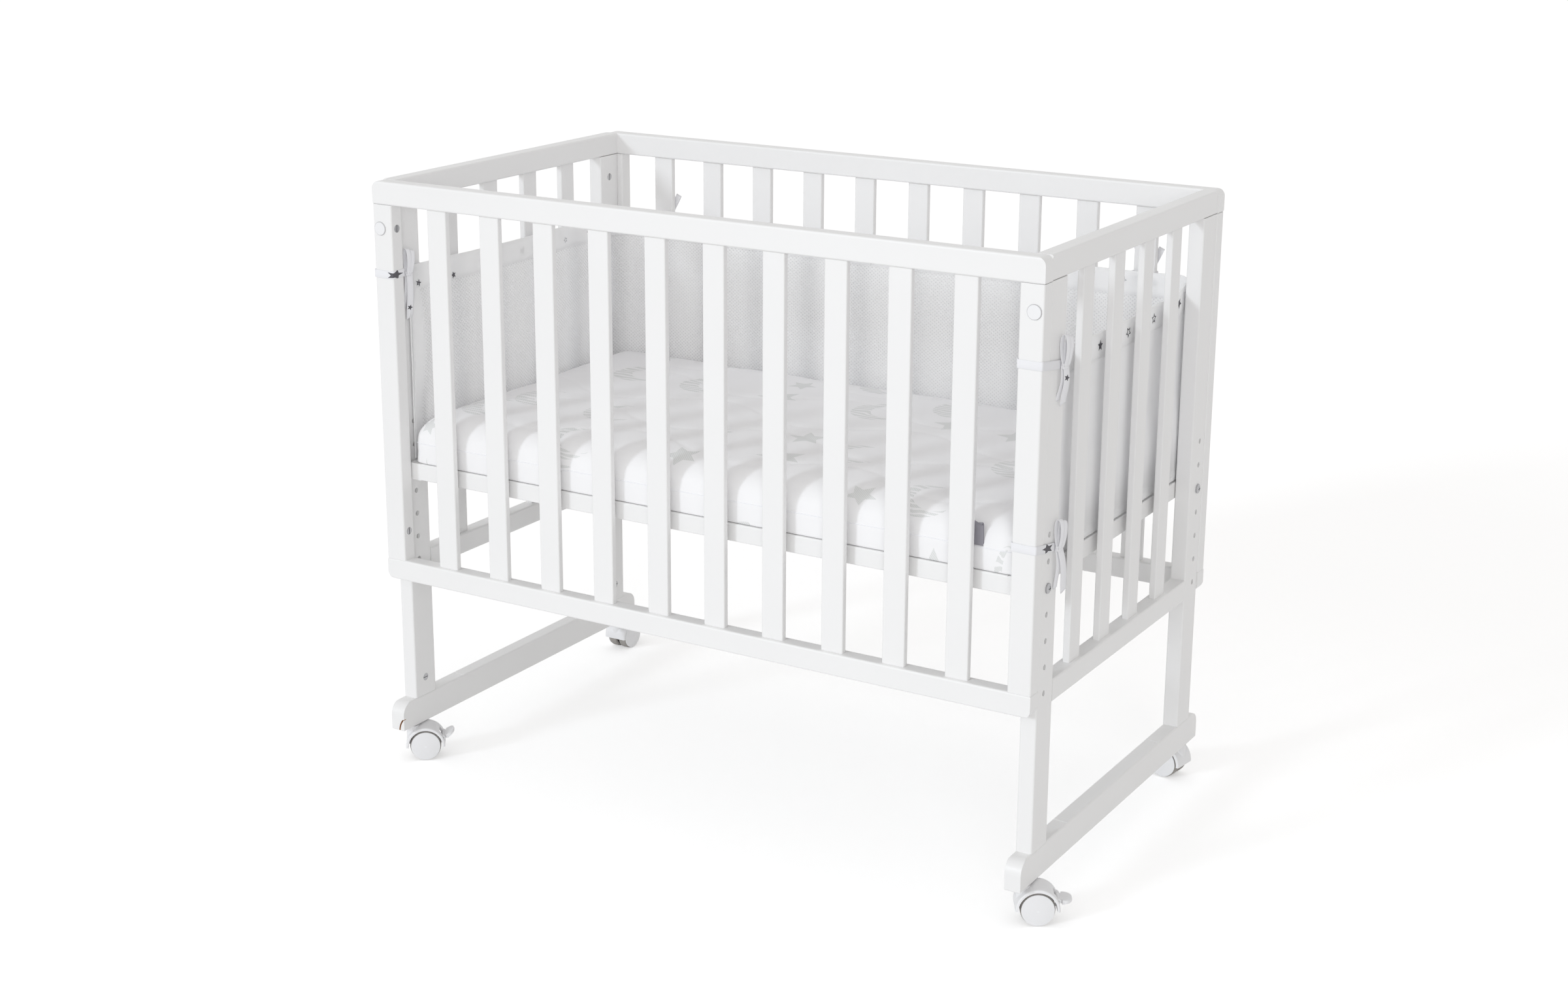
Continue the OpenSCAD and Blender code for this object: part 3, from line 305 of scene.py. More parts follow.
def rgba(c, times=1.0):
    return (c[0] * times, c[1] * times, c[2] * times, 1.0)


# ---------------------------------------------------------------- materials

# Lets light from the far side show through cloth a millimetre thick
THIN_CLOTH = {"Subsurface_Weight": 1.0, "Subsurface_Radius": (1.0, 1.0, 1.0), "Subsurface_Scale": 0.004}
TAPE_POINTS = 10  # points round a tape's section
SMALL_STAR_U = 10.0  # where the tape's small star lies in its UV map, far from the large one at U = 0


def lacquered_timber(name, tone, along):
    """White lacquer over fine wood grain that runs along one axis."""
    s = Surface(name)
    cloud = s.noise(7.0, 2.0)
    grain = s.bump(s.noise(6.0, 5.0, 0.6, s.stretched(along, 60.0, 2.4)), 0.10, 0.0004)
    return s.dress(Base_Color=s.shades(cloud, tone, 0.985, 1.012), Specular_IOR_Level=0.45,
                   Roughness=s.ramp(cloud, 0.3, 0.7, 0.34, 0.44),
                   Normal=s.bump(s.noise(420.0, 1.0), 0.05, 0.0002, grain))


def bare_wood(s, tone, along):
    """Colour and height of sawn timber."""
    rings = s.noise(5.0, 4.0, 0.65, s.stretched(along, 90.0, 6.0))
    return s.shades(rings, tone, 0.72, 1.25), rings


def bare_timber(name, tone, along):
    s = Surface(name)
    shade, rings = bare_wood(s, tone, along)
    return s.dress(Base_Color=shade, Normal=s.bump(rings, 0.25, 0.0004), Roughness=0.75)


def slit_timber(name, tone, wood, along):
    """Lacquered bar whose curved end slit shows bare wood inside."""
    s = lacquered_timber(name, tone, along)
    radius, half_width, off_middle, height, depth, skin = 0.025, 0.00125, 0.0027, 0.0175, 0.0042, 0.00004
    low, high = FOOT_BAR
    x, y, z = s.split(s.where)
    dx, dz = x - ((low.x + high.x) / 2 + off_middle + radius), z - low.z
    off = ((dx * dx + dz * dz).of("SQRT") - radius).of("ABSOLUTE")
    inside = (off < half_width) * (y > low.y + skin) * (y < low.y + depth) * (dz < height)
    return s.paint_over(inside, bare_wood(s, wood, along)[0])


def plated_steel(name, tone):
    s = Surface(name)
    smear = s.noise(3.0, 4.0, place=s.scaled((400, 400, 60)))
    return s.dress(Base_Color=s.shades(s.noise(900.0, 2.0), tone, 0.86, 1.12), Metallic=1.0,
                   Roughness=s.ramp(smear, 0.3, 0.7, 0.28, 0.46), Normal=s.bump(smear, 0.15, 0.0001))


def moulded_plastic(name, tone, gloss=0.32):
    s = Surface(name)
    cloud = s.noise(60.0, 2.0)
    return s.dress(Base_Color=s.shades(cloud, tone, 0.985, 1.01),
                   Roughness=s.ramp(cloud, 0.3, 0.7, gloss, gloss + 0.08),
                   Normal=s.bump(s.noise(1400.0, 2.0), 0.05, 0.0001))


def cap_with_painted_rim_shade(name, tone):
    """Plastic of the bolt caps, with painted shade in a thin ring round each rim, standing in for the shadow of a
    gap round the cap.
    """
    s = moulded_plastic(name, tone, 0.42)
    cap_r, shade_ring_r, fade_out, fade_in = 0.009, 0.0086, 0.0006, 0.0002
    low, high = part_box("bolt_caps")
    x, _, z = s.split(s.where)
    side = (x - MID_X).of("ABSOLUTE") - ((high.x - low.x) / 2 - cap_r)
    shade_rings = []
    for height in (high.z - cap_r, low.z + cap_r):
        up = z - height
        off = ((side * side + up * up).of("SQRT") - shade_ring_r).of("ABSOLUTE")
        shade_rings.append(s.ramp(off, fade_out, fade_in))
    # Painted shade: a darker ring just inside each cap's rim, where a recess round the cap would be in shadow
    return s.paint_over(shade_rings[0].of("MAXIMUM", shade_rings[1]), rgba(tone, 0.62))


def castor_wheel(name, plastic, tread, castor):
    """White plastic cup and cover; the ring that runs on the floor is soft and grey."""
    s = Surface(name)
    low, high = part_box(castor + "_axle")
    joint = next(j for j in frame["joints"] if j["name"] == castor + "_roll")
    spoke = s.vector("SUBTRACT", s.where, tuple((low + high) / 2))
    along = s.vector("DOT_PRODUCT", spoke, tuple(Vector(joint["axis"]).normalized()))
    far = s.vector("LENGTH", spoke)
    reach = (far * far - along * along).of("SQRT")
    soft = s.ramp(reach, 0.01730, 0.01745) * s.ramp(along.of("ABSOLUTE"), 0.01555, 0.0154)
    dust = s.noise(500.0)
    cover = s.shades(s.noise(60.0, 2.0), plastic, 0.985, 1.01)
    return s.dress(Base_Color=s.blend(soft, cover, s.shades(dust, tread, 0.82, 1.2)),
                   Roughness=s.ramp(soft, 0.0, 1.0, 0.3, 0.72, "LINEAR"),
                   Normal=s.bump(dust * soft, 0.3, 0.0003))


def star_mask(w, x, y, size, turn, soft, inner=0.48):
    """1 inside a five-pointed star about x = y = 0, one of whose points lies at an angle of -turn."""
    fifth = 2 * math.pi / 5
    point = w.math("ARCTAN2", y, x) + (turn + fifth / 2)
    within = (point.of("FLOORED_MODULO", fifth) - fifth / 2).of("ABSOLUTE")
    reach = (x * x + y * y).of("SQRT")
    across, back = inner * math.sin(fifth / 2), 1.0 - inner * math.cos(fifth / 2)
    side = reach * within.of("COSINE") * across + reach * within.of("SINE") * back
    return w.ramp(size * across - side, 0.0, soft)


def motif_field(w, place, pitch, radius):
    """1 inside stars and striped moons scattered one to a cell, and 0 outside."""
    cells = w.node("ShaderNodeTexVoronoi", {"Vector": place, "Scale": 1.0 / pitch, "Randomness": 0.7},
                   voronoi_dimensions="2D").outputs
    x, y, _ = w.split(w.vector("SUBTRACT", place, cells["Position"]))
    turn, size, kind = (Field(w, s) for s in w.node("ShaderNodeSeparateColor", {"Color": cells["Color"]}).outputs)
    size = w.ramp(size, 0.0, 1.0, radius * 0.5, radius * 0.85, "LINEAR")
    star = star_mask(w, x, y, size, turn * (2 * math.pi), radius * 0.01)

    def disc(dx, dy, r):
        ax, ay = x - dx, y - dy
        return (ax * ax + ay * ay).of("SQRT") < r

    moon = disc(0.0, 0.0, radius) * (1.0 - disc(radius * 0.42, radius * 0.20, radius * 0.80))
    wave = (y * (2 * math.pi / (radius * 0.24)) + w.noise(26.0, 1.0, place=place) * 16.0).of("SINE")
    is_moon = kind < 0.42
    return star * (1.0 - is_moon) + moon * (wave > -0.35) * is_moon


def unfolded(w, rim=0.035):
    """Places on the cover laid flat: from the rim, the way down a side runs on outwards."""
    x, y, z = w.split(w.where)
    drop = MATTRESS_HIGH.z - z
    flat = [at + (w.ramp(at, high - rim, high) - w.ramp(at, low + rim, low)) * drop
            for at, low, high in zip((x, y), MATTRESS_LOW, MATTRESS_HIGH)]
    return w.node("ShaderNodeCombineXYZ", {"X": flat[0], "Y": flat[1] - 0.8 * MATTRESS_HIGH.z}).outputs[0]


def knitted_cover(name, tone, motif):
    """Knitted mattress cover with stars and moons in a slightly darker yarn."""
    s = Surface(name)
    flat = unfolded(s)
    stars = motif_field(s, flat, 0.132, 0.040)
    rows = s.node("ShaderNodeTexWave", {"Vector": flat, "Scale": 190.0, "Distortion": 0.6, "Detail": 1.0},
                  bands_direction="DIAGONAL").outputs["Fac"]
    plain = s.shades(s.noise(9.0), tone, 0.985, 1.01)
    yarn = s.bump(s.noise(1500.0, 2.0), 0.25, 0.0004)
    return s.dress(Base_Color=s.blend(stars * s.ramp(rows, 0.2, 0.6, 0.55, 1.0), plain, rgba(motif)),
                   Normal=s.bump(stars * rows, 0.2, 0.0004, yarn),
                   Roughness=0.85, Sheen_Weight=0.15, Sheen_Roughness=0.5)


def woven_cotton(name, tone, pitch=0.0007, strength=0.25, **more):
    """Plain weave that follows the piece's own UV map, in metres."""
    s = Surface(name)
    u, v = s.uv()
    turn = 2 * math.pi / pitch
    weave = s.bump((u * turn).of("SINE") * (v * turn).of("SINE"), strength, 0.0002)
    slub = s.noise(260.0, 2.0, place=s.scaled((1, 1, 8)))
    return s.dress(Base_Color=s.shades(s.noise(24.0), tone, 0.98, 1.01), Roughness=0.86, Sheen_Weight=0.1,
                   Normal=s.bump(slub, 0.2, 0.0003, weave), **more)


def printed_tape(name, tone, ink):
    """Woven tape with one large star at U = 0 and one small star far along U."""
    s = woven_cotton(name, tone, 0.0009, 0.3)
    u, v = s.uv()
    large = star_mask(s, u * 0.5, v * 1.2, 0.0078, 1.9, 0.0001)
    small = star_mask(s, u - SMALL_STAR_U, v, 0.0043, 0.3, 0.0001)
    return s.paint_over(large.of("MAXIMUM", small), s.shades(s.noise(700.0), ink, 0.8, 1.6))


def airy_net(name, threads, depth, pitch):
    """Knitted spacer net: staggered holes between threads, by the piece's UV map in metres. The holes are painted
    darker: painted shade of the back layer seen through them.
    """
    s = Surface(name)
    u, v = s.uv()
    lattice = (u * (2 * math.pi / pitch)).of("COSINE") * (v * (2 * math.pi / (pitch * 0.86))).of("COSINE")
    hole = s.ramp(lattice, 0.22, 0.66)
    hole_shade_mask = hole * s.ramp(s.noise(11.0), 0.34, 0.66, 0.55, 1.0)
    rise = s.bump(1.0 - hole, 0.55, 0.0009)
    # Painted shade: the holes take the darker colour, standing in for the shaded back layer of the net
    return s.dress(Base_Color=s.blend(hole_shade_mask, rgba(threads), rgba(depth)), Roughness=0.85,
                   Normal=s.bump(s.noise(1500.0, 2.0), 0.2, 0.0002, rise), **THIN_CLOTH)


def mottled(name, tone, grain, detail, low, high, strength, distance, rough):
    """One tone with fine flecks: printed ink, or sewing thread."""
    s = Surface(name)
    fleck = s.noise(grain, detail)
    return s.dress(Base_Color=s.shades(fleck, tone, low, high), Normal=s.bump(fleck, strength, distance),
                   Roughness=rough)


MATERIALS = {}


# ---------------------------------------------------------------- geometry helpers

def mesh_object(name, points, faces, uvs=None, materials=(), face_materials=None, smooth=True):
    """A mesh object at the origin. uvs gives a pair to each vertex or to each face corner, in metres."""
    data = bpy.data.meshes.new(name)
    data.from_pydata([tuple(p) for p in points], [], [tuple(f) for f in faces])
    for material in materials:
        data.materials.append(material)
    if face_materials is not None:
        data.polygons.foreach_set("material_index", np.asarray(face_materials, np.int32))
    if uvs is not None:
        uvs = np.asarray(uvs, np.float32)
        if len(uvs) != len(data.loops):
            corner = np.zeros(len(data.loops), np.int32)
            data.loops.foreach_get("vertex_index", corner)
            uvs = uvs[corner]
        data.uv_layers.new(name="UVMap").data.foreach_set("uv", uvs.ravel())
    if smooth:
        data.shade_smooth()
    data.validate()
    data.update()
    return placed_object(name, data)


def placed_object(name, data):
    made = bpy.data.objects.new(name, data)
    bpy.context.scene.collection.objects.link(made)
    return made


def evaluated_mesh(obj):
    bpy.context.view_layer.update()
    graph = bpy.context.evaluated_depsgraph_get()
    return bpy.data.meshes.new_from_object(obj.evaluated_get(graph))


def settle(obj):
    """Makes what an object's modifiers show its own mesh."""
    made = evaluated_mesh(obj)
    obj.modifiers.clear()
    obj.data = made


def co_of(mesh, what="vertices", name="co"):
    made = np.zeros(len(mesh.vertices) * 3, np.float32)
    getattr(mesh, what).foreach_get(name, made)
    return made.reshape(-1, 3).astype(float)


def set_co(mesh, points):
    mesh.vertices.foreach_set("co", np.asarray(points, np.float32).ravel())
    mesh.update()


def unit(v):
    v = np.asarray(v, float)
    return v / np.maximum(np.linalg.norm(v, axis=-1, keepdims=True), 1e-12)


def step_up(x, low, high):
    t = np.clip((np.asarray(x, float) - low) / (high - low), 0, 1)
    return t * t * (3 - 2 * t)


def run_along(line):
    """Distance from the start of a line to each of its points."""
    return np.concatenate([[0], np.cumsum(np.linalg.norm(np.diff(line, axis=0), axis=1))])


def smooth_line(points, count, closed=False):
    """Evenly spaced points on a smooth curve through the given ones."""
    p = np.asarray(points, float)
    if closed:
        p = np.vstack([p, p[:1]])
        padded = np.vstack([p[-2], p, p[1]])
    else:
        padded = np.vstack([2 * p[0] - p[1], p, 2 * p[-1] - p[-2]])
    fine = []
    t = np.linspace(0, 1, 24, endpoint=False)[:, None]
    for a, b, c, d in zip(padded, padded[1:], padded[2:], padded[3:]):
        fine.append(0.5 * (2 * b + (c - a) * t + (2 * a - 5 * b + 4 * c - d) * t ** 2
                           + (3 * b - a - 3 * c + d) * t ** 3))
    fine = np.vstack([*fine, p[-1:]])
    run = run_along(fine)
    at = np.linspace(0, run[-1], count + 1)[:-1] if closed else np.linspace(0, run[-1], count)
    return np.column_stack([np.interp(at, run, fine[:, k]) for k in range(3)])


def ribbon(points, sides, width, thick, closed=False, star=None):
    """Tape along a line: sides point across the tape. Returns points, faces and a UV for each corner.
    star is where the print lies on it: ("large" or "small", distance along the line)."""
    p = np.asarray(points, float)
    n = len(p)
    tangent = unit(np.roll(p, -1, 0) - np.roll(p, 1, 0) if closed else np.gradient(p, axis=0))
    side = np.broadcast_to(np.asarray(sides, float), p.shape)
    side = unit(side - (side * tangent).sum(1, keepdims=True) * tangent)
    normal = np.cross(tangent, side)
    half, thin = width / 2, thick / 2
    upper = [(half, thin * 0.4), (half - thin, thin), (0, thin), (-half + thin, thin), (-half, thin * 0.4)]
    ring = np.array([(-a, -b) for a, b in upper] + upper)
    m = TAPE_POINTS
    made = p[:, None] + side[:, None] * ring[:, :1] + normal[:, None] * ring[:, 1:]
    run = run_along(np.vstack([p, p[:1]]))
    origin_u, origin_v = 0.0, 1.0
    if star:
        origin_u, origin_v = (SMALL_STAR_U if star[0] == "small" else 0.0) - star[1], 0.0

    def uv(i, k):
        return run[i] + origin_u, ring[k][0] + origin_v

    faces, uvs = [], []
    for i in range(n if closed else n - 1):
        j = (i + 1) % n
        for k in range(m):
            q = (k + 1) % m
            faces.append((i * m + k, j * m + k, j * m + q, i * m + q))
            uvs += [uv(i, k), uv(i + 1, k), uv(i + 1, q), uv(i, q)]
    if not closed:
        for i, order in ((0, range(m)), (n - 1, range(m - 1, -1, -1))):
            faces.append(tuple(i * m + k for k in order))
            uvs += [uv(i, k) for k in order]
    return made.reshape(-1, 3), faces, uvs


def outward(obj):
    """Faces of a closed mesh turned to point outwards."""
    b = bmesh.new()
    b.from_mesh(obj.data)
    bmesh.ops.recalc_face_normals(b, faces=b.faces)
    b.to_mesh(obj.data)
    b.free()
    return obj


def joined(name, parts, material):
    """One mesh object from several (points, faces, uvs)."""
    points, faces, uvs = [], [], []
    for more_points, more_faces, more_uvs in parts:
        faces += [tuple(len(points) + i for i in f) for f in more_faces]
        points += list(more_points)
        uvs += more_uvs
    return outward(mesh_object(name, points, faces, uvs, (material,)))


# ---------------------------------------------------------------- shapes grown on points by nodes

def attribute(w, name, kind="FLOAT"):
    return Field(w, w.node("GeometryNodeInputNamedAttribute", {"Name": name}, data_type=kind)
                 .outputs["Attribute"])


def spread(w, points, shape, **more):
    """A shape at every point, whose X follows the 'along' attribute and whose Z follows 'outwards'."""
    out = w.node("FunctionNodeAlignRotationToVector", {
        "Vector": attribute(w, "outwards", "FLOAT_VECTOR")}, axis="Z")
    turn = w.node("FunctionNodeAlignRotationToVector", {
        "Rotation": out.outputs[0], "Vector": attribute(w, "along", "FLOAT_VECTOR")}, axis="X", pivot_axis="Z")
    return w.node("GeometryNodeInstanceOnPoints", {
        "Points": points, "Instance": shape, "Rotation": turn.outputs[0], **more}).outputs[0]


def sewn_threads(long, thick):
    """A short rounded thread at every point."""
    def build(w, points):
        bead = w.node("GeometryNodeMeshUVSphere", {"Segments": 6, "Rings": 4, "Radius": 0.5})
        thread = w.node("GeometryNodeTransform", {"Geometry": bead.outputs["Mesh"], "Scale": (long, thick, thick)})
        soft = w.node("GeometryNodeSetShadeSmooth", {"Geometry": thread.outputs[0]})
        return spread(w, points, soft.outputs[0])
    return build


def flat_stars(inner, line):
    """A filled or outlined five-pointed star at every point, by its 'size' and 'hollow'."""
    def build(w, points):
        outer = w.node("GeometryNodeCurveStar", {"Points": 5, "Inner Radius": inner, "Outer Radius": 1.0})
        small = w.node("GeometryNodeTransform", {"Geometry": outer.outputs["Curve"], "Scale": (line, line, 1.0)})
        both, made = w.node("GeometryNodeJoinGeometry"), w.node("GeometryNodeJoinGeometry")
        w.put(both.inputs[0], outer.outputs["Curve"])
        w.put(both.inputs[0], small.outputs[0])
        hollow, size = attribute(w, "hollow"), attribute(w, "size")
        for curve, chosen in ((outer.outputs["Curve"], hollow < 0.5), (both.outputs[0], hollow > 0.5)):
            face = w.node("GeometryNodeFillCurve", {"Curve": curve})
            w.put(made.inputs[0], spread(w, points, face.outputs[0], Selection=chosen, Scale=size))
        return made.outputs[0]
    return build


def round_cord(radius):
    """A round cord sewn along a line of points."""
    def build(w, points):
        line = w.node("GeometryNodeMeshToCurve", {"Mesh": points})
        ring = w.node("GeometryNodeCurvePrimitiveCircle", {"Resolution": 8, "Radius": radius})
        tube = w.node("GeometryNodeCurveToMesh", {
            "Curve": line.outputs[0], "Profile Curve": ring.outputs[0], "Fill Caps": True})
        return w.node("GeometryNodeSetShadeSmooth", {"Geometry": tube.outputs[0]}).outputs[0]
    return build


def grown(name, build, material, points, edges=(), **attributes):
    """Builds a shape by nodes on points with attributes and keeps it as a plain mesh object."""
    data = bpy.data.meshes.new(name + "_seed")
    data.from_pydata([tuple(p) for p in points], list(edges), [])
    for label, values in attributes.items():
        values = np.asarray(values, np.float32)
        kind, field = ("FLOAT_VECTOR", "vector") if values.ndim == 2 else ("FLOAT", "value")
        data.attributes.new(label, kind, "POINT").data.foreach_set(field, values.ravel())
    tree = bpy.data.node_groups.new(name, "GeometryNodeTree")
    for label, end in (("Points", "INPUT"), ("Made", "OUTPUT")):
        tree.interface.new_socket(label, in_out=end, socket_type="NodeSocketGeometry")
    w = Wiring(tree)
    shape = build(w, w.node("NodeGroupInput").outputs[0])
    real = w.node("GeometryNodeRealizeInstances", {"Geometry": shape})
    done = w.node("GeometryNodeSetMaterial", {"Geometry": real.outputs[0], "Material": material})
    w.node("NodeGroupOutput", {0: done.outputs[0]})
    obj = placed_object(name, data)
    obj.modifiers.new("nodes", "NODES").node_group = tree
    settle(obj)
    obj.data.name = name
    return obj


# ---------------------------------------------------------------- mattress

SWELL_FRAMES = 20
PAD_RISE = 0.002  # how far the pad may stand above its solid


def rounded_outline(x, y, r, per_corner=10):
    """Rounded rectangle about the origin, anticlockwise from its +X +Y corner."""
    made = []
    for q, (sx, sy) in enumerate(((1, 1), (-1, 1), (-1, -1), (1, -1))):
        for i in range(per_corner):
            a = math.radians(90 * q + 90 * i / (per_corner - 1))
            made.append((sx * (x - r) + r * math.cos(a), sy * (y - r) + r * math.sin(a)))
    return made


def pad_block(s):
    """The pad before it swells: the CAD form's own profile, a little smaller."""
    low, rim = MATTRESS_LOW.z, MATTRESS_HIGH.z - s.crown - s.inset * 0.6
    rings = [(s.low_edge * (1 - math.sin(a)), low + s.low_edge * (1 - math.cos(a)))
             for a in map(math.radians, (0, 30, 60, 90))]
    rings += [(s.top_edge * (1 - math.cos(a)), rim - s.top_edge * (1 - math.sin(a)))
              for a in map(math.radians, (0, 15, 30, 45, 60, 75))]
    rings += [(s.top_edge * inwards, rim + s.crown * up)
              for inwards, up in ((1.1, 0.2), (2.2, 0.6), (4, 0.9), (6, 1))]
    points, faces = [], []
    for inset, z in rings:
        outline = rounded_outline(PAD_HALF[0] - s.inset - inset, PAD_HALF[1] - s.inset - inset,
                                  max(s.corner - inset / 2, 0.004))
        points += [(PAD_CENTRE.x + x, PAD_CENTRE.y + y, z) for x, y in outline]
    n = len(outline)
    for k in range(0, len(points) - n, n):
        faces += [(k + i, k + (i + 1) % n, k + n + (i + 1) % n, k + n + i) for i in range(n)]
    faces += [tuple(range(n - 1, -1, -1)), tuple(range(len(points) - n, len(points)))]
    return points, faces


def swollen(obj, s):
    """Lets the pad swell under a little pressure, with a cap on how far a point moves."""
    points = co_of(obj.data)
    cloth = obj.modifiers.new("swell", "CLOTH")
    for name, value in (("quality", 4), ("mass", 0.3), ("tension_stiffness", 20),
                        ("compression_stiffness", 20), ("bending_stiffness", 1.0),
                        ("use_pressure", True), ("uniform_pressure_force", s.pressure)):
        setattr(cloth.settings, name, value)
    cloth.settings.effector_weights.gravity = 0.0
    cloth.point_cache.frame_start, cloth.point_cache.frame_end = 1, SWELL_FRAMES
    for step in range(1, SWELL_FRAMES + 1):
        bpy.context.scene.frame_set(step)
    moved = co_of(evaluated_mesh(obj)) - points
    obj.modifiers.remove(cloth)
    bpy.context.scene.frame_set(1)
    points += moved * s.swell / np.maximum(np.linalg.norm(moved, axis=1, keepdims=True), s.swell)
    points = np.clip(points, np.array(MATTRESS_LOW), np.array(MATTRESS_HIGH) + PAD_RISE * UP)
    from_middle = points[:, 0] - PAD_CENTRE.x
    ahead = step_up(LINER_LEFT[0].y - 0.002 - points[:, 1], 0.0, 0.010)
    at_side = step_up(np.abs(from_middle) / PAD_HALF[0], 0.93, 0.99)
    by_seam = 1 - step_up(np.abs(points[:, 2] - MATTRESS_LOW.z - s.seam) / 0.034, 0.5, 1.0)
    points[:, 0] += np.sign(from_middle) * s.flare * ahead * at_side * by_seam
    set_co(obj.data, points)


def fill_front(points):
    """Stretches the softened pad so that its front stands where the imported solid's does."""
    back = points[:, 1].max()
    front = points[np.abs(points[:, 0]) < 0.1, 1].min()
    points[:, 1] = back + (points[:, 1] - back) * (back - MATTRESS_LOW.y - 0.0003) / (back - front)


def sharpen_low_edge(points, band=0.016, power=2.4):
    """Draws the softened lower edge out towards the pad's sides and its underside."""
    up = np.clip((points[:, 2] - MATTRESS_LOW.z) / band, 0, 1)
    for k in (0, 1):
        for wall, way in ((points[:, k].min(), 1), (points[:, k].max(), -1)):
            far = np.clip((points[:, k] - wall) * way / band, 0, 1)
            points[:, k] -= way * band * (far - far ** power) * (1 - up)
    points[:, 2] -= band * (up - up ** power)


def quilt_phase(s, x):
    return 2 * math.pi * (x + 0.05) / s.quilt_wave


def quilt_track(s, k, x):
    """How far from the middle line the k-th quilting line is at x: every other one is mirrored."""
    return k * s.quilt_pitch + s.quilt_swing * (1 if k % 2 else -1) * np.sin(quilt_phase(s, x))


def quilting_lines(s):
    """The quilting lines that lie on the pad, as lists of x and y."""
    half_x, half_y = PAD_HALF[:2] - 0.012
    x = np.arange(-half_x, half_x, 0.002)
    lines = []
    count = int(half_y // s.quilt_pitch) + 1
    for k in range(-count, count + 1):
        y = quilt_track(s, k, x)
        keep = np.abs(y) < half_y
        for run in np.split(np.arange(len(x)), np.where(np.diff(keep.astype(int)) != 0)[0] + 1):
            if keep[run[0]] and len(run) > 10:
                lines.append(np.column_stack([PAD_CENTRE.x + x[run], PAD_CENTRE.y + y[run]]))
    return lines


def quilt(mesh, s):
    """Pulls the upper side in along the quilting lines, and lets it puff out beside them."""
    points, normals = co_of(mesh), co_of(mesh, name="normal")
    x, y = points[:, 0] - PAD_CENTRE.x, points[:, 1] - PAD_CENTRE.y
    slope = 2 * math.pi / s.quilt_wave * s.quilt_swing * np.cos(quilt_phase(s, x))
    near = np.full(len(points), 1.0)
    for k in range(-4, 5):
        near = np.minimum(near, np.abs(y - quilt_track(s, k, x)) / np.sqrt(1 + slope ** 2))
    top = np.clip((points[:, 2] - MATTRESS_LOW.z - s.seam - 0.006) / 0.02, 0, 1)
    pull = s.quilt_depth * (np.exp(-(near / 0.0045) ** 2) - 0.35 * np.exp(-((near - 0.014) / 0.009) ** 2))
    set_co(mesh, points - normals * (pull * top)[:, None])


def side_seam(tree, z_at, out):
    """Line round the pad's side at one height, just clear of its surface."""
    ring = np.array(rounded_outline(PAD_HALF[0], PAD_HALF[1], 0.03, 14)) + np.array(PAD_CENTRE)[:2]
    made = []
    for p in smooth_line(np.column_stack([ring, np.full(len(ring), z_at)]), 900, closed=True):
        hit, normal, _, _ = tree.find_nearest(Vector(p))
        flat = Vector((normal.x, normal.y, 0)).normalized()
        made.append((hit.x + flat.x * out, hit.y + flat.y * out, z_at))
    return made


# ---------------------------------------------------------------- liner

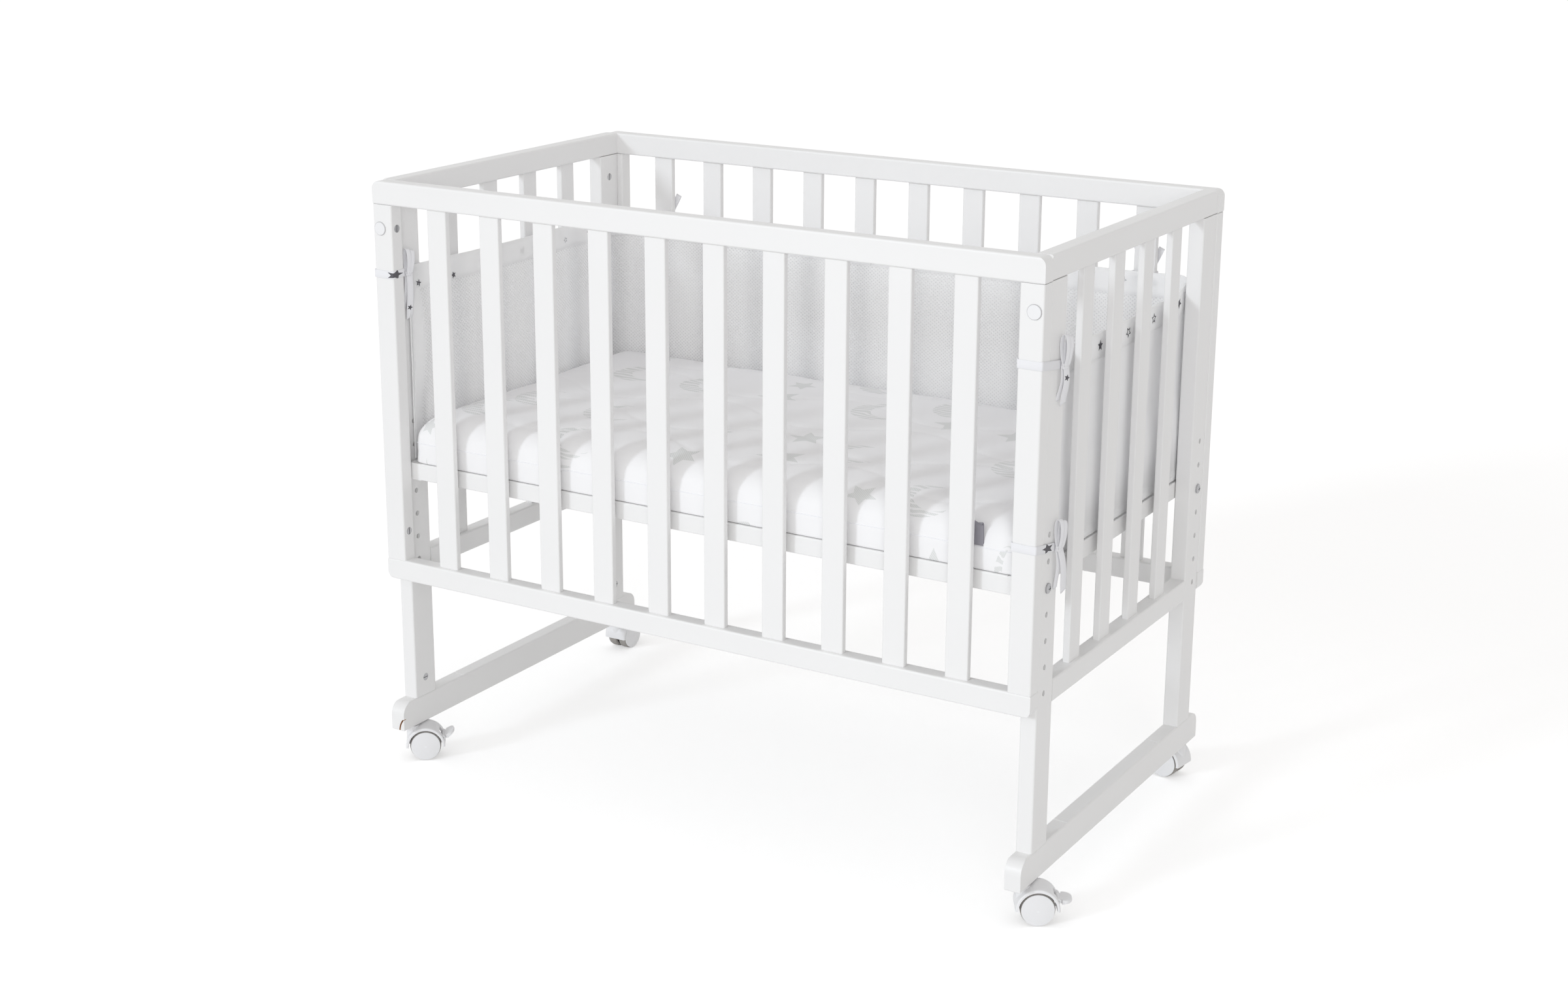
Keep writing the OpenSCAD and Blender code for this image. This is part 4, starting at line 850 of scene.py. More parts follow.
class LinerSurface:
    """Middle surface of the hanging cloth. A run goes along it from the left front end round the back to
    the right front end."""

    def __init__(self, s):
        self.s = s
        self.left, self.right = ((box[0].x + box[1].x) / 2 for box in (LINER_LEFT, LINER_RIGHT))
        self.back, self.front = (LINER_BACK[0].y + LINER_BACK[1].y) / 2, LINER_LEFT[0].y
        self.low = LINER_LEFT[0].z - s.droop
        self.quarter = math.pi * s.corner / 2
        self.straight = self.back - s.corner - self.front
        self.across = self.right - self.left - 2 * s.corner
        self.total = 2 * self.straight + 2 * self.quarter + self.across
        self.back_run = self.straight + self.quarter
        self.second_bend = self.back_run + self.across
        self.right_run = self.second_bend + self.quarter

    def plan(self, run):
        """Places seen from above, and the direction inwards there."""
        r = self.s.corner
        first, second = (np.clip((run - start) / r, 0, math.pi / 2) for start in (self.straight, self.second_bend))
        x = (self.left + r * (1 - np.cos(first)) + np.clip(run - self.back_run, 0, self.across)
             + r * np.sin(second))
        y = (self.front + np.minimum(run, self.straight) + r * np.sin(first) - r * (1 - np.cos(second))
             - np.maximum(run - self.right_run, 0))
        return np.column_stack([x, y]), np.column_stack([np.cos(first + second), -np.sin(first + second)])

    def top(self, run):
        """Height of the upper edge, which sags between its corners and hangs lower on the right."""
        bend = self.second_bend
        made = LINER_LEFT[1].z - (LINER_LEFT[1].z - LINER_RIGHT[1].z) * step_up(run, bend - 0.02, bend + 0.09)
        for sag, start, long in ((0.0022, 0.0, self.straight), (0.003, self.back_run, self.across),
                                 (0.0022, self.right_run, self.straight)):
            made = made - sag * np.sin(math.pi * np.clip((run - start) / long, 0, 1)) ** 2
        return made + self.s.lift * np.exp(-((run - bend - self.quarter * 0.6) / 0.030) ** 2)

    def offset(self, run, z, share_up):
        """How far folds and slack bring the cloth inwards."""
        s = self.s
        turn = 2 * math.pi * run / s.fold_pitch
        wave = sum(size * np.sin(turn / part + phase) for size, part, phase in
                   ((0.55, 1, 0.6), (0.30, 0.61, 2.1), (0.15, 0.27, 4.0)))
        lean = 0.35 * np.sin(turn / 2.3 + 3.0 * share_up)
        clear = step_up(z, MATTRESS_HIGH.z + 0.004, MATTRESS_HIGH.z + 0.06)
        depth = 0.0010 + (s.fold - 0.0010) * clear * (1 - 0.72 * step_up(share_up, 0.72, 1.0))
        ends = step_up(np.minimum(run, self.total - run), 0.0, 0.05)
        held = 1.0
        for x, half_slat in ((BACK_SLATS[0].x, 0.015), (BACK_SLATS[1].x, -0.015)):
            tied_at = self.back_run + x - self.left - s.corner + half_slat
            held = held * (1 - np.exp(-((run - tied_at) / 0.025) ** 2) * step_up(share_up, 0.6, 0.95))
        span = np.clip((z - MATTRESS_HIGH.z) / (LINER_LEFT[1].z - MATTRESS_HIGH.z), 0, 1)
        slack = s.slack * (run / 0.022) * np.exp(1 - run / 0.022) * np.sin(math.pi * span) ** 1.3
        folds = depth * held * (0.15 + 0.85 * ends) * np.clip(0.5 + 0.5 * (wave + lean), 0.0, 1.1)
        return folds + slack

    def point(self, run, share_up, extra_z, extra_out):
        """Points at runs and shares of the height, moved up and inwards."""
        plan, inward = self.plan(run)
        z = self.low + share_up * (self.top(run) - self.low) + extra_z
        away = self.offset(run, z, share_up) + extra_out
        return np.column_stack([plan + inward * away[:, None], z])

    def frames(self, run, share_up, extra_z, out):
        """Points on one side of the cloth, the direction along it and that side's own outward direction."""
        here = self.point(run, share_up, extra_z, out)
        along = self.point(run + 0.001, share_up, extra_z, out) - here
        above = self.point(run, share_up, extra_z + 0.001, out) - here
        return here, unit(along), unit(np.cross(along, above)) * (1 if out < 0 else -1)


def liner_cloth(s, surface, net, cotton):
    """Hanging cloth with net inside, cotton outside and thicker hems, as one closed sheet."""
    total = surface.total
    columns = int(total / 0.0042)
    runs = np.linspace(0, total, columns + 1)
    for x in (s.edge, total - s.edge):
        runs[np.argmin(np.abs(runs - x))] = x
    bound = (runs <= s.edge + 1e-6) | (runs >= total - s.edge - 1e-6)
    height = float(surface.top(np.array([0.1]))[0] - LINER_LEFT[0].z)
    # Rows from the bottom up: share of the height, distance above that share, and whether hemmed
    rows = [(0, 0.0, True), (0, s.low_hem * 0.5, True), (0, s.low_hem, True), (0, s.low_hem + 0.0004, False)]
    rows += [(f, 0.0, False) for f in np.linspace(0, 1, 52)[1:-1]
             if s.low_hem + 0.002 < f * height < height - s.hem - 0.002]
    rows += [(1, -s.hem - 0.0004, False)] + [(1, -s.hem * part, True) for part in (1, 0.75, 0.5, 0.25)]
    rows += [(1, -0.0006, True)]
    layers = [(f, d, side * np.where(bound | hemmed, s.hem_cloth, s.cloth) / 2)
              for side in (1, -1) for f, d, hemmed in rows] + [(0, -0.0005, 0.0), (1, 0.0, 0.0)]
    points = [surface.point(runs, f, d, out) for f, d, out in layers]
    uvs = [np.column_stack([runs, layer[:, 2] - LINER_LEFT[0].z]) for layer in points]
    width, count = columns + 1, len(rows)
    inner, outer, low_rim, top_rim = 0, count * width, 2 * count * width, (2 * count + 1) * width
    faces, kinds = [], []
    plain = np.ones(columns, int)

    def quads(a, b, kind):
        faces.extend((a + i, a + i + 1, b + i + 1, b + i) for i in range(columns))
        kinds.extend(kind)

    for k in range(count - 1):
        hemmed = rows[k][2] and rows[k + 1][2]
        quads(inner + k * width, inner + (k + 1) * width, plain if hemmed else plain * (bound[:-1] & bound[1:]))
        quads(outer + (k + 1) * width, outer + k * width, plain)
    for a, b in ((low_rim, inner), (outer, low_rim), (inner + (count - 1) * width, top_rim),
                 (top_rim, outer + (count - 1) * width)):
        quads(a, b, plain)
    for column in (0, columns):
        chain_in, chain_out = ([low_rim + column] + [start + k * width + column for k in range(count)]
                               + [top_rim + column] for start in (inner, outer))
        for a, b, c, d in zip(chain_in, chain_in[1:], chain_out[1:], chain_out):
            quad = list(dict.fromkeys((a, b, c, d)))
            faces.append(tuple(quad if column else quad[::-1]))
            kinds.append(1)
    return outward(mesh_object("liner_cloth", np.vstack(points), faces, np.vstack(uvs), (net, cotton), kinds))


# ---------------------------------------------------------------- tapes

def across_of(facing):
    return unit(np.cross(facing, UP))


def post_plan(end, gap):
    """Corners of the tape round a corner post, gap clear of the timber, starting at the leg's back."""
    stile, leg = (LEFT_STILE, LEFT_LEG) if end < 0 else (RIGHT_STILE, RIGHT_LEG)
    out_side, in_side = (0, 1) if end < 0 else (1, 0)
    outer, inner = stile[out_side].x + end * gap, stile[in_side].x - end * gap
    leg_in = leg[in_side].x - end * gap
    front, step, back = stile[0].y - gap, stile[1].y + gap, leg[1].y + gap
    return [(leg_in, back), (leg_in, step), (inner, step), (inner, front), (outer, front), (outer, back)]


def soft_corners(plan, heights, ease=0.0022):
    """Closed line through a plan with its corners eased, at a height for each corner."""
    made = []
    corners = np.column_stack([np.array(plan), heights])
    for i, here in enumerate(corners):
        before, after = corners[i - 1] - here, corners[(i + 1) % len(plan)] - here
        long = np.linalg.norm(after)
        cut_in, cut_out = (min(ease, 0.45 * np.linalg.norm(way)) for way in (before, after))
        a, b = here + unit(before) * cut_in, here + unit(after) * cut_out
        for t in np.linspace(0, 1, 6):
            curve = (1 - t) ** 2 * a + 2 * t * (1 - t) * here + t * t * b
            made.append(curve * 0.9 + here * 0.1)
        for t in np.linspace(0, 1, max(3, int(long / 0.004)))[1:-1]:
            if t * long > cut_out * 1.2 and (1 - t) * long > ease * 1.2:
                made.append(here + after * t)
    made = np.array(made)
    made[:, 2] += 0.0004 * np.sin(np.arange(len(made)) * 0.31)
    return made


def band(plan, heights, t, star=None):
    return ribbon(soft_corners(plan, heights), UP, t.width, t.thickness, True, star)


def loop(knot, facing, up, height, depth, width, thick):
    """A teardrop of tape that leaves the knot along up and bulges towards facing."""
    facing, up = unit(facing), unit(up)
    across = unit(np.cross(facing, up))
    line = []
    for a in np.arange(28) * 2 * math.pi / 28:
        w = (1 - math.cos(a)) / 2
        out = depth / 2 - depth * 0.62 * math.sin(a) * (0.35 + 0.65 * w)
        line.append(knot + facing * out + up * height * w + across * 0.0016 * math.sin(a))
    return ribbon(smooth_line(line, 44, closed=True), across, width, thick, closed=True)


def loose_end(knot, facing, down, long, width, thick, bend, out, star=None):
    """A loose end of tape that hangs from the knot, with a slanting cut."""
    facing, down = unit(facing), np.array(down)
    across = across_of(facing)
    line = [knot + down * long * t + across * bend * t * t
            + facing * (out + 0.0022 * math.sin(math.pi * t * 1.4)) for t in np.linspace(0, 1, 9)]
    points, faces, uvs = ribbon(smooth_line(line, 26), across, width, thick, star=star)
    last_ring = points[-TAPE_POINTS:]
    last_ring += down * width * 0.45 * ((last_ring - line[-1]) @ across / width)[:, None]
    return points, faces, uvs


def knot_wrap(at, facing, thick, size):
    """Tape wrapped once over the crossing."""
    facing = unit(facing)
    line = [at + facing * (0.0026 + 0.0026 * math.cos(a)) + across_of(facing) * size * math.sin(a)
            for a in np.arange(16) * 2 * math.pi / 16]
    return ribbon(smooth_line(line, 26, closed=True), UP, 0.0066, thick * 1.5, closed=True)


def post_tie(name, t, end, z, gap, knot, facing, star_shift, grow, tail, lean, star_at):
    """A band round a corner post that slopes down to a bow with two loose ends. Its large star lies
    star_shift past a front corner, and a small one lies star_at down the wider end."""
    thick, knot = t.thickness, np.array(knot)
    plan = post_plan(end, gap)
    sink = knot[2] - z if end > 0 else 0.0
    star = None
    if star_shift is not None:
        path = plan[:4 if end < 0 else 5]
        star = ("large", star_shift + sum(math.dist(a, b) for a, b in zip(path, path[1:])) - 0.004)
    facing = unit(facing)
    across = across_of(facing)
    wide, slender = t.width * 0.86, t.width * 0.56
    return joined(name, [
        band(plan, [z, z, z, z, z + sink * 0.1, z + sink], t, star),
        loop(knot + across * 0.0012, facing, UP + across * 0.02, t.bow * grow, 0.0084, slender, thick),
        loop(knot - across * 0.0018 + facing * 0.0010, facing, UP - across * 0.09, t.bow * grow * 0.94,
             0.0066, slender, thick),
        loose_end(knot - across * 0.001, facing, -across * lean - UP, tail, wide, thick, 0.001, 0.0034,
                  star_at and ("small", star_at)),
        loose_end(knot + across * 0.002, facing, across * (0.07 - lean * 0.7) - UP, tail * 0.9, slender,
                  thick, 0.002, 0.0014),
        knot_wrap(knot, facing, thick, slender * 0.7),
    ], MATERIALS["tape"])


def slat_tie(name, t, end, gap, z):
    """Tie round an outermost slat of the back panel, its bow behind the slat."""
    half_slat = 0.015
    half, thick = half_slat + gap, t.thickness
    x = BACK_SLATS[0].x + half_slat if end < 0 else BACK_SLATS[1].x - half_slat
    front, back = LINER_BACK[1].y + 0.0004 + gap, BACK_SLATS[1].y + gap
    knot, facing, wide = np.array((x, back + thick / 2, z)), (0, 1.0, 0), t.width * 0.78
    parts = [band([(x - half, front), (x + half, front), (x + half, back), (x - half, back)], [z] * 4, t)]
    for lean, grow in ((-0.51, 1.0), (0.51, 0.93)):
        parts.append(loop(knot, facing, (lean, 0, 1.0), 0.042 * grow, 0.008, wide, thick))
    for lean, grow in ((-0.17, 1.0), (0.14, 0.88)):
        parts.append(loose_end(knot, facing, (lean, 0, -1.0), t.tail * grow, wide, thick, 0.001, 0.0016,
                               ("small", 0.02 * grow)))
    parts.append(knot_wrap(knot, facing, thick, wide * 0.5))
    return joined(name, parts, MATERIALS["tape"])


# ---------------------------------------------------------------- operators

# The first row with a word of the node's name gives its finish
FINISH_OF = (("plastic", ("_hood", "_brake")), ("caps", ("bolt_caps",)), ("wood", ("dowels",)),
             ("slit", ("left_foot_bar",)), ("cotton", ("liner", "mattress_label")), ("cover", ("mattress",)),
             ("steel", ("_bolts", "_nuts", "_axle", "castor")), ("y", ("base_slats",)), ("z", ("slats",)))


class COT_OT_finish_solids(bpy.types.Operator):
    """Gives every solid of the cot its lacquer, steel or plastic"""
    bl_idname = "cot.finish_solids"
    bl_label = "Finish solids"

    def execute(self, context):
        f = context.scene.cot_finishes
        made = {axis: lacquered_timber("lacquer_along_" + axis, f.lacquer, axis) for axis in "xyz"}
        made.update({
            "slit": slit_timber("lacquer_with_slit", f.lacquer, f.bare_wood, "y"),
            "wood": bare_timber("bare_beech", f.bare_wood, "z"),
            "steel": plated_steel("zinc_steel", f.zinc),
            "plastic": moulded_plastic("white_plastic", f.plastic),
            "caps": cap_with_painted_rim_shade("cap_plastic", f.plastic),
            "net": airy_net("airy_net", f.net, f.net_hole_shade, context.scene.cot_liner.net_pitch),
            "cotton": woven_cotton("liner_cotton", f.cloth, **THIN_CLOTH),
            "tape": printed_tape("tie_tape", [c * 0.93 for c in f.cloth], f.print_tone),
            "tag": woven_cotton("tag_weave", f.tag, 0.0008, 0.5),
            "cover": knitted_cover("mattress_cover", f.mattress, f.motif),
            "thread": mottled("white_thread", f.cloth, 2200.0, 2.0, 0.9, 1.04, 0.3, 0.0001, 0.6),
            "ink": mottled("printed_stars", f.print_tone, 700.0, 3.0, 0.8, 1.7, 0.2, 0.0002, 0.8),
            "pale_ink": mottled("pale_stars", f.pale_print, 700.0, 3.0, 0.8, 1.7, 0.2, 0.0002, 0.8),
        })
        MATERIALS.update((key, surface.material) for key, surface in made.items())
        for name, obj in frame["nodes"].items():
            material = self.choose(name, f)
            obj.data.materials.clear()
            obj.data.materials.append(material)
        return {"FINISHED"}

    def choose(self, name, f):
        if name.endswith("_wheels"):
            return castor_wheel(name + "_finish", f.plastic, f.tread, name[:-len("_wheels")]).material
        for key, words in FINISH_OF:
            if any(word in name for word in words):
                return MATERIALS[key]
        low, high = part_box(name)
        size = high - low
        return MATERIALS["xyz"[max(range(3), key=lambda k: size[k])]]


class COT_OT_make_mattress(bpy.types.Operator):
    """Makes the quilted mattress with its seam, stitches and tag"""
    bl_idname = "cot.make_mattress"
    bl_label = "Make mattress"

    def execute(self, context):
        s = context.scene.cot_mattress
        pad = mesh_object("mattress_pad_cover", *pad_block(s))
        remesh = pad.modifiers.new("remesh", "REMESH")
        remesh.mode = "VOXEL"
        remesh.voxel_size = s.voxel
        settle(pad)
        swollen(pad, s)
        soften = pad.modifiers.new("soften", "CORRECTIVE_SMOOTH")
        soften.factor = 0.5
        soften.iterations = 6
        soften.use_only_smooth = True
        finer = pad.modifiers.new("finer", "SUBSURF")
        finer.levels = finer.render_levels = 1
        settle(pad)
        points = co_of(pad.data)
        points[:, 2] = np.maximum(points[:, 2], MATTRESS_LOW.z)
        fill_front(points)
        sharpen_low_edge(points)
        set_co(pad.data, points)
        pad.data.shade_smooth()
        quilt(pad.data, s)
        pad.data.materials.clear()
        pad.data.materials.append(MATERIALS["cover"])
        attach(pad, "mattress_pad")
        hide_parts("mattress")

        tree = BVHTree.FromPolygons([v.co for v in pad.data.vertices],
                                    [tuple(p.vertices) for p in pad.data.polygons])
        line = side_seam(tree, MATTRESS_LOW.z + s.seam, 0.0002)
        edges = [(i, (i + 1) % len(line)) for i in range(len(line))]
        seam = grown("mattress_side_seam", round_cord(0.0007), MATERIALS["thread"], line, edges)
        thread = self.quilting_thread(s, tree)
        for piece in (seam, thread):
            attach(piece, "mattress_pad")

        tag = self.tag(*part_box("mattress_label"))
        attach(tag, "mattress_pad")
        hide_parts("mattress_label")
        return {"FINISHED"}

    def quilting_thread(self, s, tree):
        spots, along, out = [], [], []
        for track in quilting_lines(s):
            run = run_along(track)
            at = np.arange(0.004, run[-1], s.stitch * 1.7)
            places = np.column_stack([np.interp(at, run, track[:, k]) for k in (0, 1)])
            for here, ahead in zip(places, places[1:]):
                hit, normal, _, _ = tree.ray_cast(Vector((*here, 1.0)), Vector((0, 0, -1)))
                if hit is None:
                    continue
                spots.append(hit - normal * 0.00005)
                along.append((*(ahead - here), 0))
                out.append(normal)
        return grown("mattress_quilting_thread", sewn_threads(s.stitch, 0.0004), MATERIALS["thread"], spots,
                     along=unit(along), outwards=np.array(out))

    def tag(self, low, high):
        """A strip folded at its top, with both ends in the side seam, that leans away from the pad."""
        x, y, z = ((a + b) / 2 for a, b in zip(low, high))
        front = [(x, np.interp(at, [low.z, z, high.z], [y + 0.0002, y - 0.0006, y - 0.0014]) - 0.0005, at)
                 for at in np.linspace(low.z - 0.002, high.z, 9)]
        fold = [(x + 0.0003, front[-1][1] + 0.0005, high.z + 0.0004)]
        back = [(x + 0.0006, at_y + 0.0011, at_z - 0.0004) for _, at_y, at_z in front[::-1]]
        strip = ribbon(smooth_line(front + fold + back, 60), (1, 0, 0), high.x - low.x, 0.0005)
        return joined("mattress_tag", [strip], MATERIALS["tag"])


class COT_OT_make_liner(bpy.types.Operator):
    """Makes the hanging liner with its net, hems, piping, stitches and printed stars"""
    bl_idname = "cot.make_liner"
    bl_label = "Make liner"

    def execute(self, context):
        s = context.scene.cot_liner
        surface = LinerSurface(s)
        cloth = liner_cloth(s, surface, MATERIALS["net"], MATERIALS["cotton"])
        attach(cloth, "frame")
        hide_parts("liner_left", "liner_back", "liner_right")
        piping, stitches = self.piping(surface), self.stitches(s, surface)
        stars, pale = self.stars(s, surface)
        for piece in (piping, stitches, stars, pale):
            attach(piece, "frame")
        return {"FINISHED"}

    def piping(self, surface):
        count = 60
        lines = [surface.point(np.full(count, run), np.linspace(0, 1, count), 0.0, 0.0003)
                 for run in (0.0, surface.total)]
        edges = [(start + i, start + i + 1) for start in (0, count) for i in range(count - 1)]
        return grown("liner_piping", round_cord(0.0013), MATERIALS["cotton"], np.vstack(lines), edges)

    def stitches(self, s, surface):
        spots, along, out = [], [], []
        pitch, half, total = s.stitch * 1.45, s.hem_cloth / 2, surface.total
        runs = np.arange(0.004, total - 0.004, pitch)
        heights = np.arange(0.012, 0.97, pitch / 0.255)
        for f, d in ((0, s.low_hem - 0.0015), (0, s.low_hem - 0.0045), (1, -s.hem + 0.0015)):
            for side in (1, -1):
                for made, more in zip((spots, along, out), surface.frames(runs, f, d, side * half)):
                    made.append(more)
        for run in (s.edge - 0.0015, total - s.edge + 0.0015):
            for side in (1, -1):
                line = surface.point(np.full(len(heights), run), heights, 0.0, side * half)
                spots.append(line)
                along.append(unit(np.gradient(line, axis=0)))
                out.append(np.tile((side if run < total / 2 else -side, 0.0, 0.0), (len(line), 1)))
        return grown("liner_stitches", sewn_threads(s.stitch, 0.00042), MATERIALS["thread"], np.vstack(spots),
                     along=np.vstack(along), outwards=np.vstack(out))

    def stars(self, s, surface):
        """Stars on the top band: each has a run, a drop from the top, a side and whether it is hollow."""
        inside, outside = 1, -1
        dark, pale = [], []
        for run, d, hollow in ((0.015, -0.025, 0), (0.090, -0.027, 0), (0.184, -0.010, 1),
                               (0.271, -0.026, 0), (0.342, -0.020, 1), (0.399, -0.018, 0)):
            (pale if hollow else dark).append((run, d, inside, hollow))
        middle = surface.back_run + surface.across / 2
        for k in range(-4, 5):
            d, hollow = ((-0.026, 0), (-0.013, 1), (-0.019, 0))[k % 3]
            (pale if hollow else dark).append((middle - 0.0215 + 0.093 * k, d, inside, hollow))
            dark.append((middle + 0.02 + 0.093 * k, -0.008 + d * 0.5, outside, 1 - hollow))
        for run, d, hollow in ((0.020, -0.016, 0), (0.103, -0.016, 1), (0.185, -0.016, 1),
                               (0.268, -0.016, 0), (0.359, -0.016, 1), (0.430, -0.020, 0)):
            dark.append((surface.right_run + run, d, outside, hollow))
            pale.append((surface.right_run + run + 0.04, -0.023, inside, 1 - hollow))
        for run, d, hollow in ((0.06, -0.014, 0), (0.15, -0.017, 1), (0.24, -0.018, 0), (0.33, -0.012, 1),
                               (0.42, -0.019, 0)):
            dark.append((run, d, outside, hollow))
        return (self.printed("liner_dark_stars", s, surface, dark, "ink"),
                self.printed("liner_pale_stars", s, surface, pale, "pale_ink"))

    def printed(self, name, s, surface, chosen, ink):
        spots, along, out, size = [], [], [], []
        for i, (run, d, side, _) in enumerate(chosen):
            here, ahead, away = surface.frames(np.array([run]), 1, d, side * (s.hem_cloth / 2 + 0.00012))
            tilt = math.radians(37 * i % 72)
            spots.append(here[0])
            along.append((ahead * math.cos(tilt) + np.cross(away, ahead) * math.sin(tilt))[0])
            out.append(away[0])
            size.append(s.star * (1.0 if side > 0 else 1.45))
        return grown(name, flat_stars(0.47, 0.6), MATERIALS[ink], spots, along=along, outwards=out, size=size,
                     hollow=[float(open_star) for *_, open_star in chosen])


class COT_OT_make_ties(bpy.types.Operator):
    """Makes the five ties with their bands, bows and loose ends"""
    bl_idname = "cot.make_ties"
    bl_label = "Make ties"

    def execute(self, context):
        t = context.scene.cot_ties
        high, low = LINER_LEFT[1].z - t.width / 2 - 0.001, LINER_LEFT[0].z + 0.0365
        gap = 0.00015 + t.thickness / 2
        left_knot = (LEFT_LEG[1].x + 0.0016, LEFT_LEG[0].y + 0.014, high - 0.003)
        right_x, right_y = RIGHT_STILE[1].x + 0.0024, RIGHT_LEG[1].y - 0.013
        turned = (0.93, -0.37, 0)
        pieces = [
            post_tie("tie_front_left", t, -1, high, gap, left_knot, (0.9, -0.43, 0), 0.0, 0.9,
                     t.tail * 1.25, 0.0, 0.046),
            post_tie("tie_front_right_upper", t, 1, high, gap, (right_x, right_y, high - 0.009), turned,
                     None, 1.0, t.tail * 0.92, 0.0, 0.0135),
            post_tie("tie_front_right_lower", t, 1, low, gap, (right_x, right_y + 0.003, low - 0.011), turned,
                     0.0335, 0.97, t.tail * 1.12, 0.2, None),
            slat_tie("tie_back_left", t, -1, gap, high),
            slat_tie("tie_back_right", t, 1, gap, high),
        ]
        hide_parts("liner_ties")
        for piece in pieces:
            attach(piece, "frame")
        return {"FINISHED"}


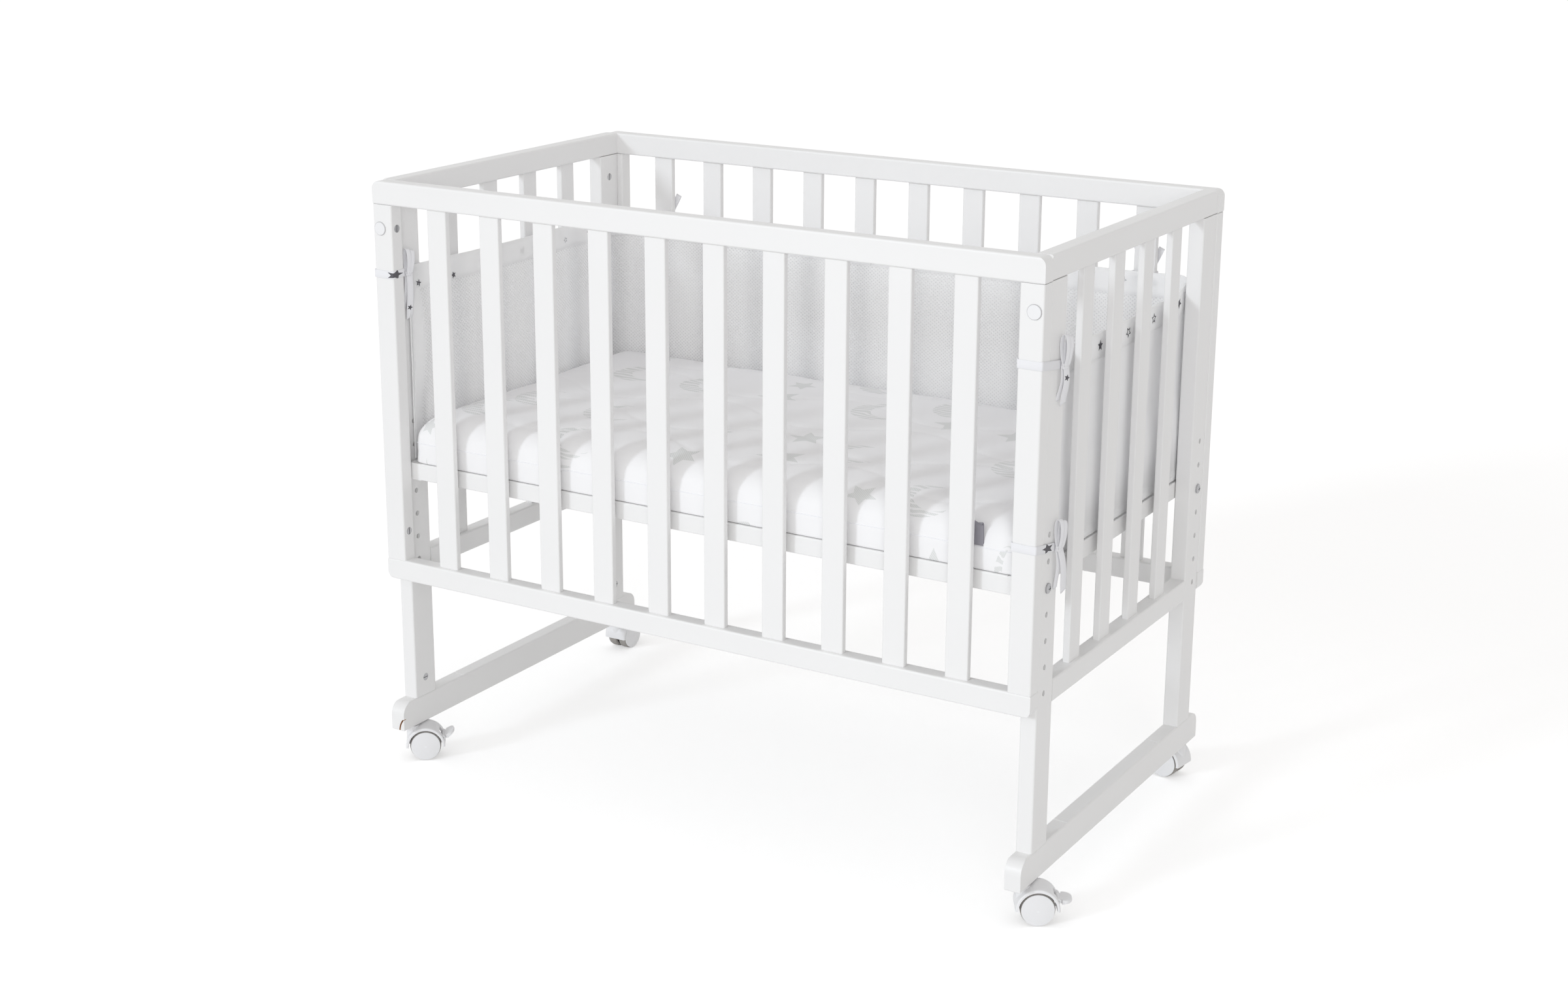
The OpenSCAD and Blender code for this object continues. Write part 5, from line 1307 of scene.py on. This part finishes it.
class COT_OT_set_stage(bpy.types.Operator):
    """Sets the floor, the soft studio light and the camera"""
    bl_idname = "cot.set_stage"
    bl_label = "Set stage"

    def execute(self, context):
        s = context.scene.cot_stage
        context.scene.view_settings.view_transform = "Standard"
        self.world(s, context.scene)
        self.distant_softbox("front_left_softbox", s.key, (0.88, 0.94, 1.0), -s.key_turn, s.key_rise, s.key_soft)
        self.distant_softbox("right_softbox", s.fill, (0.98, 0.99, 1.0), s.fill_turn, s.fill_rise, s.fill_soft)
        self.near_softbox(s)
        self.floor(s)
        self.camera(context.scene)
        return {"FINISHED"}

    def world(self, s, scene):
        scene.world = scene.world or bpy.data.worlds.new("studio")
        scene.world.use_nodes = True
        w = Wiring(scene.world.node_tree)
        w.tree.nodes.clear()
        even = w.node("ShaderNodeBackground", {"Color": (1.0, 0.988, 0.978, 1.0), "Strength": s.sky})
        white = w.node("ShaderNodeBackground", {"Color": (1.0, 1.0, 1.0, 1.0), "Strength": 1.0})
        mixed = w.node("ShaderNodeMixShader", {0: w.seen_by_eye(), 1: even.outputs[0], 2: white.outputs[0]})
        w.node("ShaderNodeOutputWorld", {"Surface": mixed.outputs[0]})

    def lamp(self, name, kind, energy, tone, towards):
        """A lamp that shines away from the direction towards it."""
        lamp = bpy.data.lights.new(name, kind)
        lamp.energy = energy
        lamp.color = tone
        obj = placed_object(name, lamp)
        obj.rotation_mode = "QUATERNION"
        obj.rotation_quaternion = towards.to_track_quat("Z", "Y")
        return lamp, obj

    def distant_softbox(self, name, bright, tone, turn, rise, soft):
        """A distant lamp, turned right of the front by an angle, that lights white as bright as given."""
        towards = Vector((math.sin(turn) * math.cos(rise), -math.cos(turn) * math.cos(rise), math.sin(rise)))
        lamp, _ = self.lamp(name, "SUN", math.pi * bright, tone, towards)
        lamp.angle = soft

    def near_softbox(self, s):
        """A wide lamp close in front, so that faces turned to the middle of the cot are lit more."""
        middle = Vector((0.0, 0.0, 0.55))
        lamp, obj = self.lamp("near_softbox", "AREA", math.pi ** 2 * s.near, (0.97, 0.985, 1.0),
                              Vector(s.near_place) - middle)
        lamp.shape = "RECTANGLE"
        lamp.size, lamp.size_y = 1.2, 0.8
        obj.location = s.near_place
        obj.visible_camera = False

    def floor(self, s):
        far = 30.0
        made = mesh_object("studio_floor", [(-far, -far, 0), (far, -far, 0), (far, far, 0), (-far, far, 0)],
                           [(0, 1, 2, 3)], smooth=False)
        w = Surface("studio_floor")
        w.dress(Base_Color=w.shades(w.noise(1.5, 2.0), s.floor, 0.995, 1.0), Roughness=0.95,
                Specular_IOR_Level=0.0)
        glow = w.node("ShaderNodeEmission", {"Color": (1, 1, 1, 1), "Strength": w.seen_by_eye() * s.floor_lift})
        both = w.node("ShaderNodeAddShader", {0: w.shader.outputs[0], 1: glow.outputs[0]})
        w.put(w.tree.nodes["Material Output"].inputs["Surface"], both.outputs[0])
        made.data.materials.append(w.material)

    def camera(self, scene):
        """The photograph's camera, fitted to its straight edges, with most of its vertical shift left out."""
        photo_width, sensor = 2400, 36.0
        focal, shift, roll = 3577.0, -0.03, math.radians(0.29)
        yaw, pitch = math.radians(30.96), math.radians(15.83)
        lens = bpy.data.cameras.new("photo_view")
        lens.sensor_fit = "HORIZONTAL"
        lens.sensor_width = sensor
        lens.lens = focal / photo_width * sensor
        lens.shift_y = shift
        lens.clip_start, lens.clip_end = 0.05, 100.0
        lens.dof.use_dof = False
        obj = placed_object("photo_view", lens)
        ahead = Vector((-math.sin(yaw) * math.cos(pitch), math.cos(yaw) * math.cos(pitch), -math.sin(pitch)))
        obj.location = (1.4888, -2.5522, 1.2903)
        obj.rotation_mode = "QUATERNION"
        obj.rotation_quaternion = ahead.to_track_quat("-Z", "Y") @ Matrix.Rotation(roll, 3, "Z").to_quaternion()
        scene.camera = obj


# ---------------------------------------------------------------- add-on

GROUPS = {"cot_finishes": CotFinishes, "cot_mattress": CotMattress, "cot_liner": CotLiner,
          "cot_ties": CotTies, "cot_stage": CotStage}
OPERATORS = (COT_OT_finish_solids, COT_OT_set_stage, COT_OT_make_mattress, COT_OT_make_liner,
             COT_OT_make_ties)


class COT_PT_panel(bpy.types.Panel):
    """Lists the steps that dress the cot"""
    bl_label = "Bedside cot"
    bl_idname = "COT_PT_panel"
    bl_space_type = "VIEW_3D"
    bl_region_type = "UI"
    bl_category = "Cot"

    def draw(self, context):
        for operator in OPERATORS:
            self.layout.operator(operator.bl_idname)
        for key, kind in GROUPS.items():
            box = self.layout.box()
            for name in kind.__annotations__:
                box.prop(getattr(context.scene, key), name, text=name.replace("_", " ").capitalize())


def register():
    for kind in (*GROUPS.values(), *OPERATORS, COT_PT_panel):
        bpy.utils.register_class(kind)
    for key, kind in GROUPS.items():
        setattr(bpy.types.Scene, key, PointerProperty(type=kind))


def unregister():
    for key in GROUPS:
        delattr(bpy.types.Scene, key)
    for kind in reversed((*GROUPS.values(), *OPERATORS, COT_PT_panel)):
        bpy.utils.unregister_class(kind)


def main():
    for obj in [o for o in bpy.data.objects if o.name in ("Cube", "Light", "Camera")]:
        bpy.data.objects.remove(obj)
    register()
    bpy.ops.cot.finish_solids()
    bpy.ops.cot.set_stage()
    bpy.ops.cot.make_mattress()
    bpy.ops.cot.make_liner()
    bpy.ops.cot.make_ties()


if __name__ == "__main__":
    main()
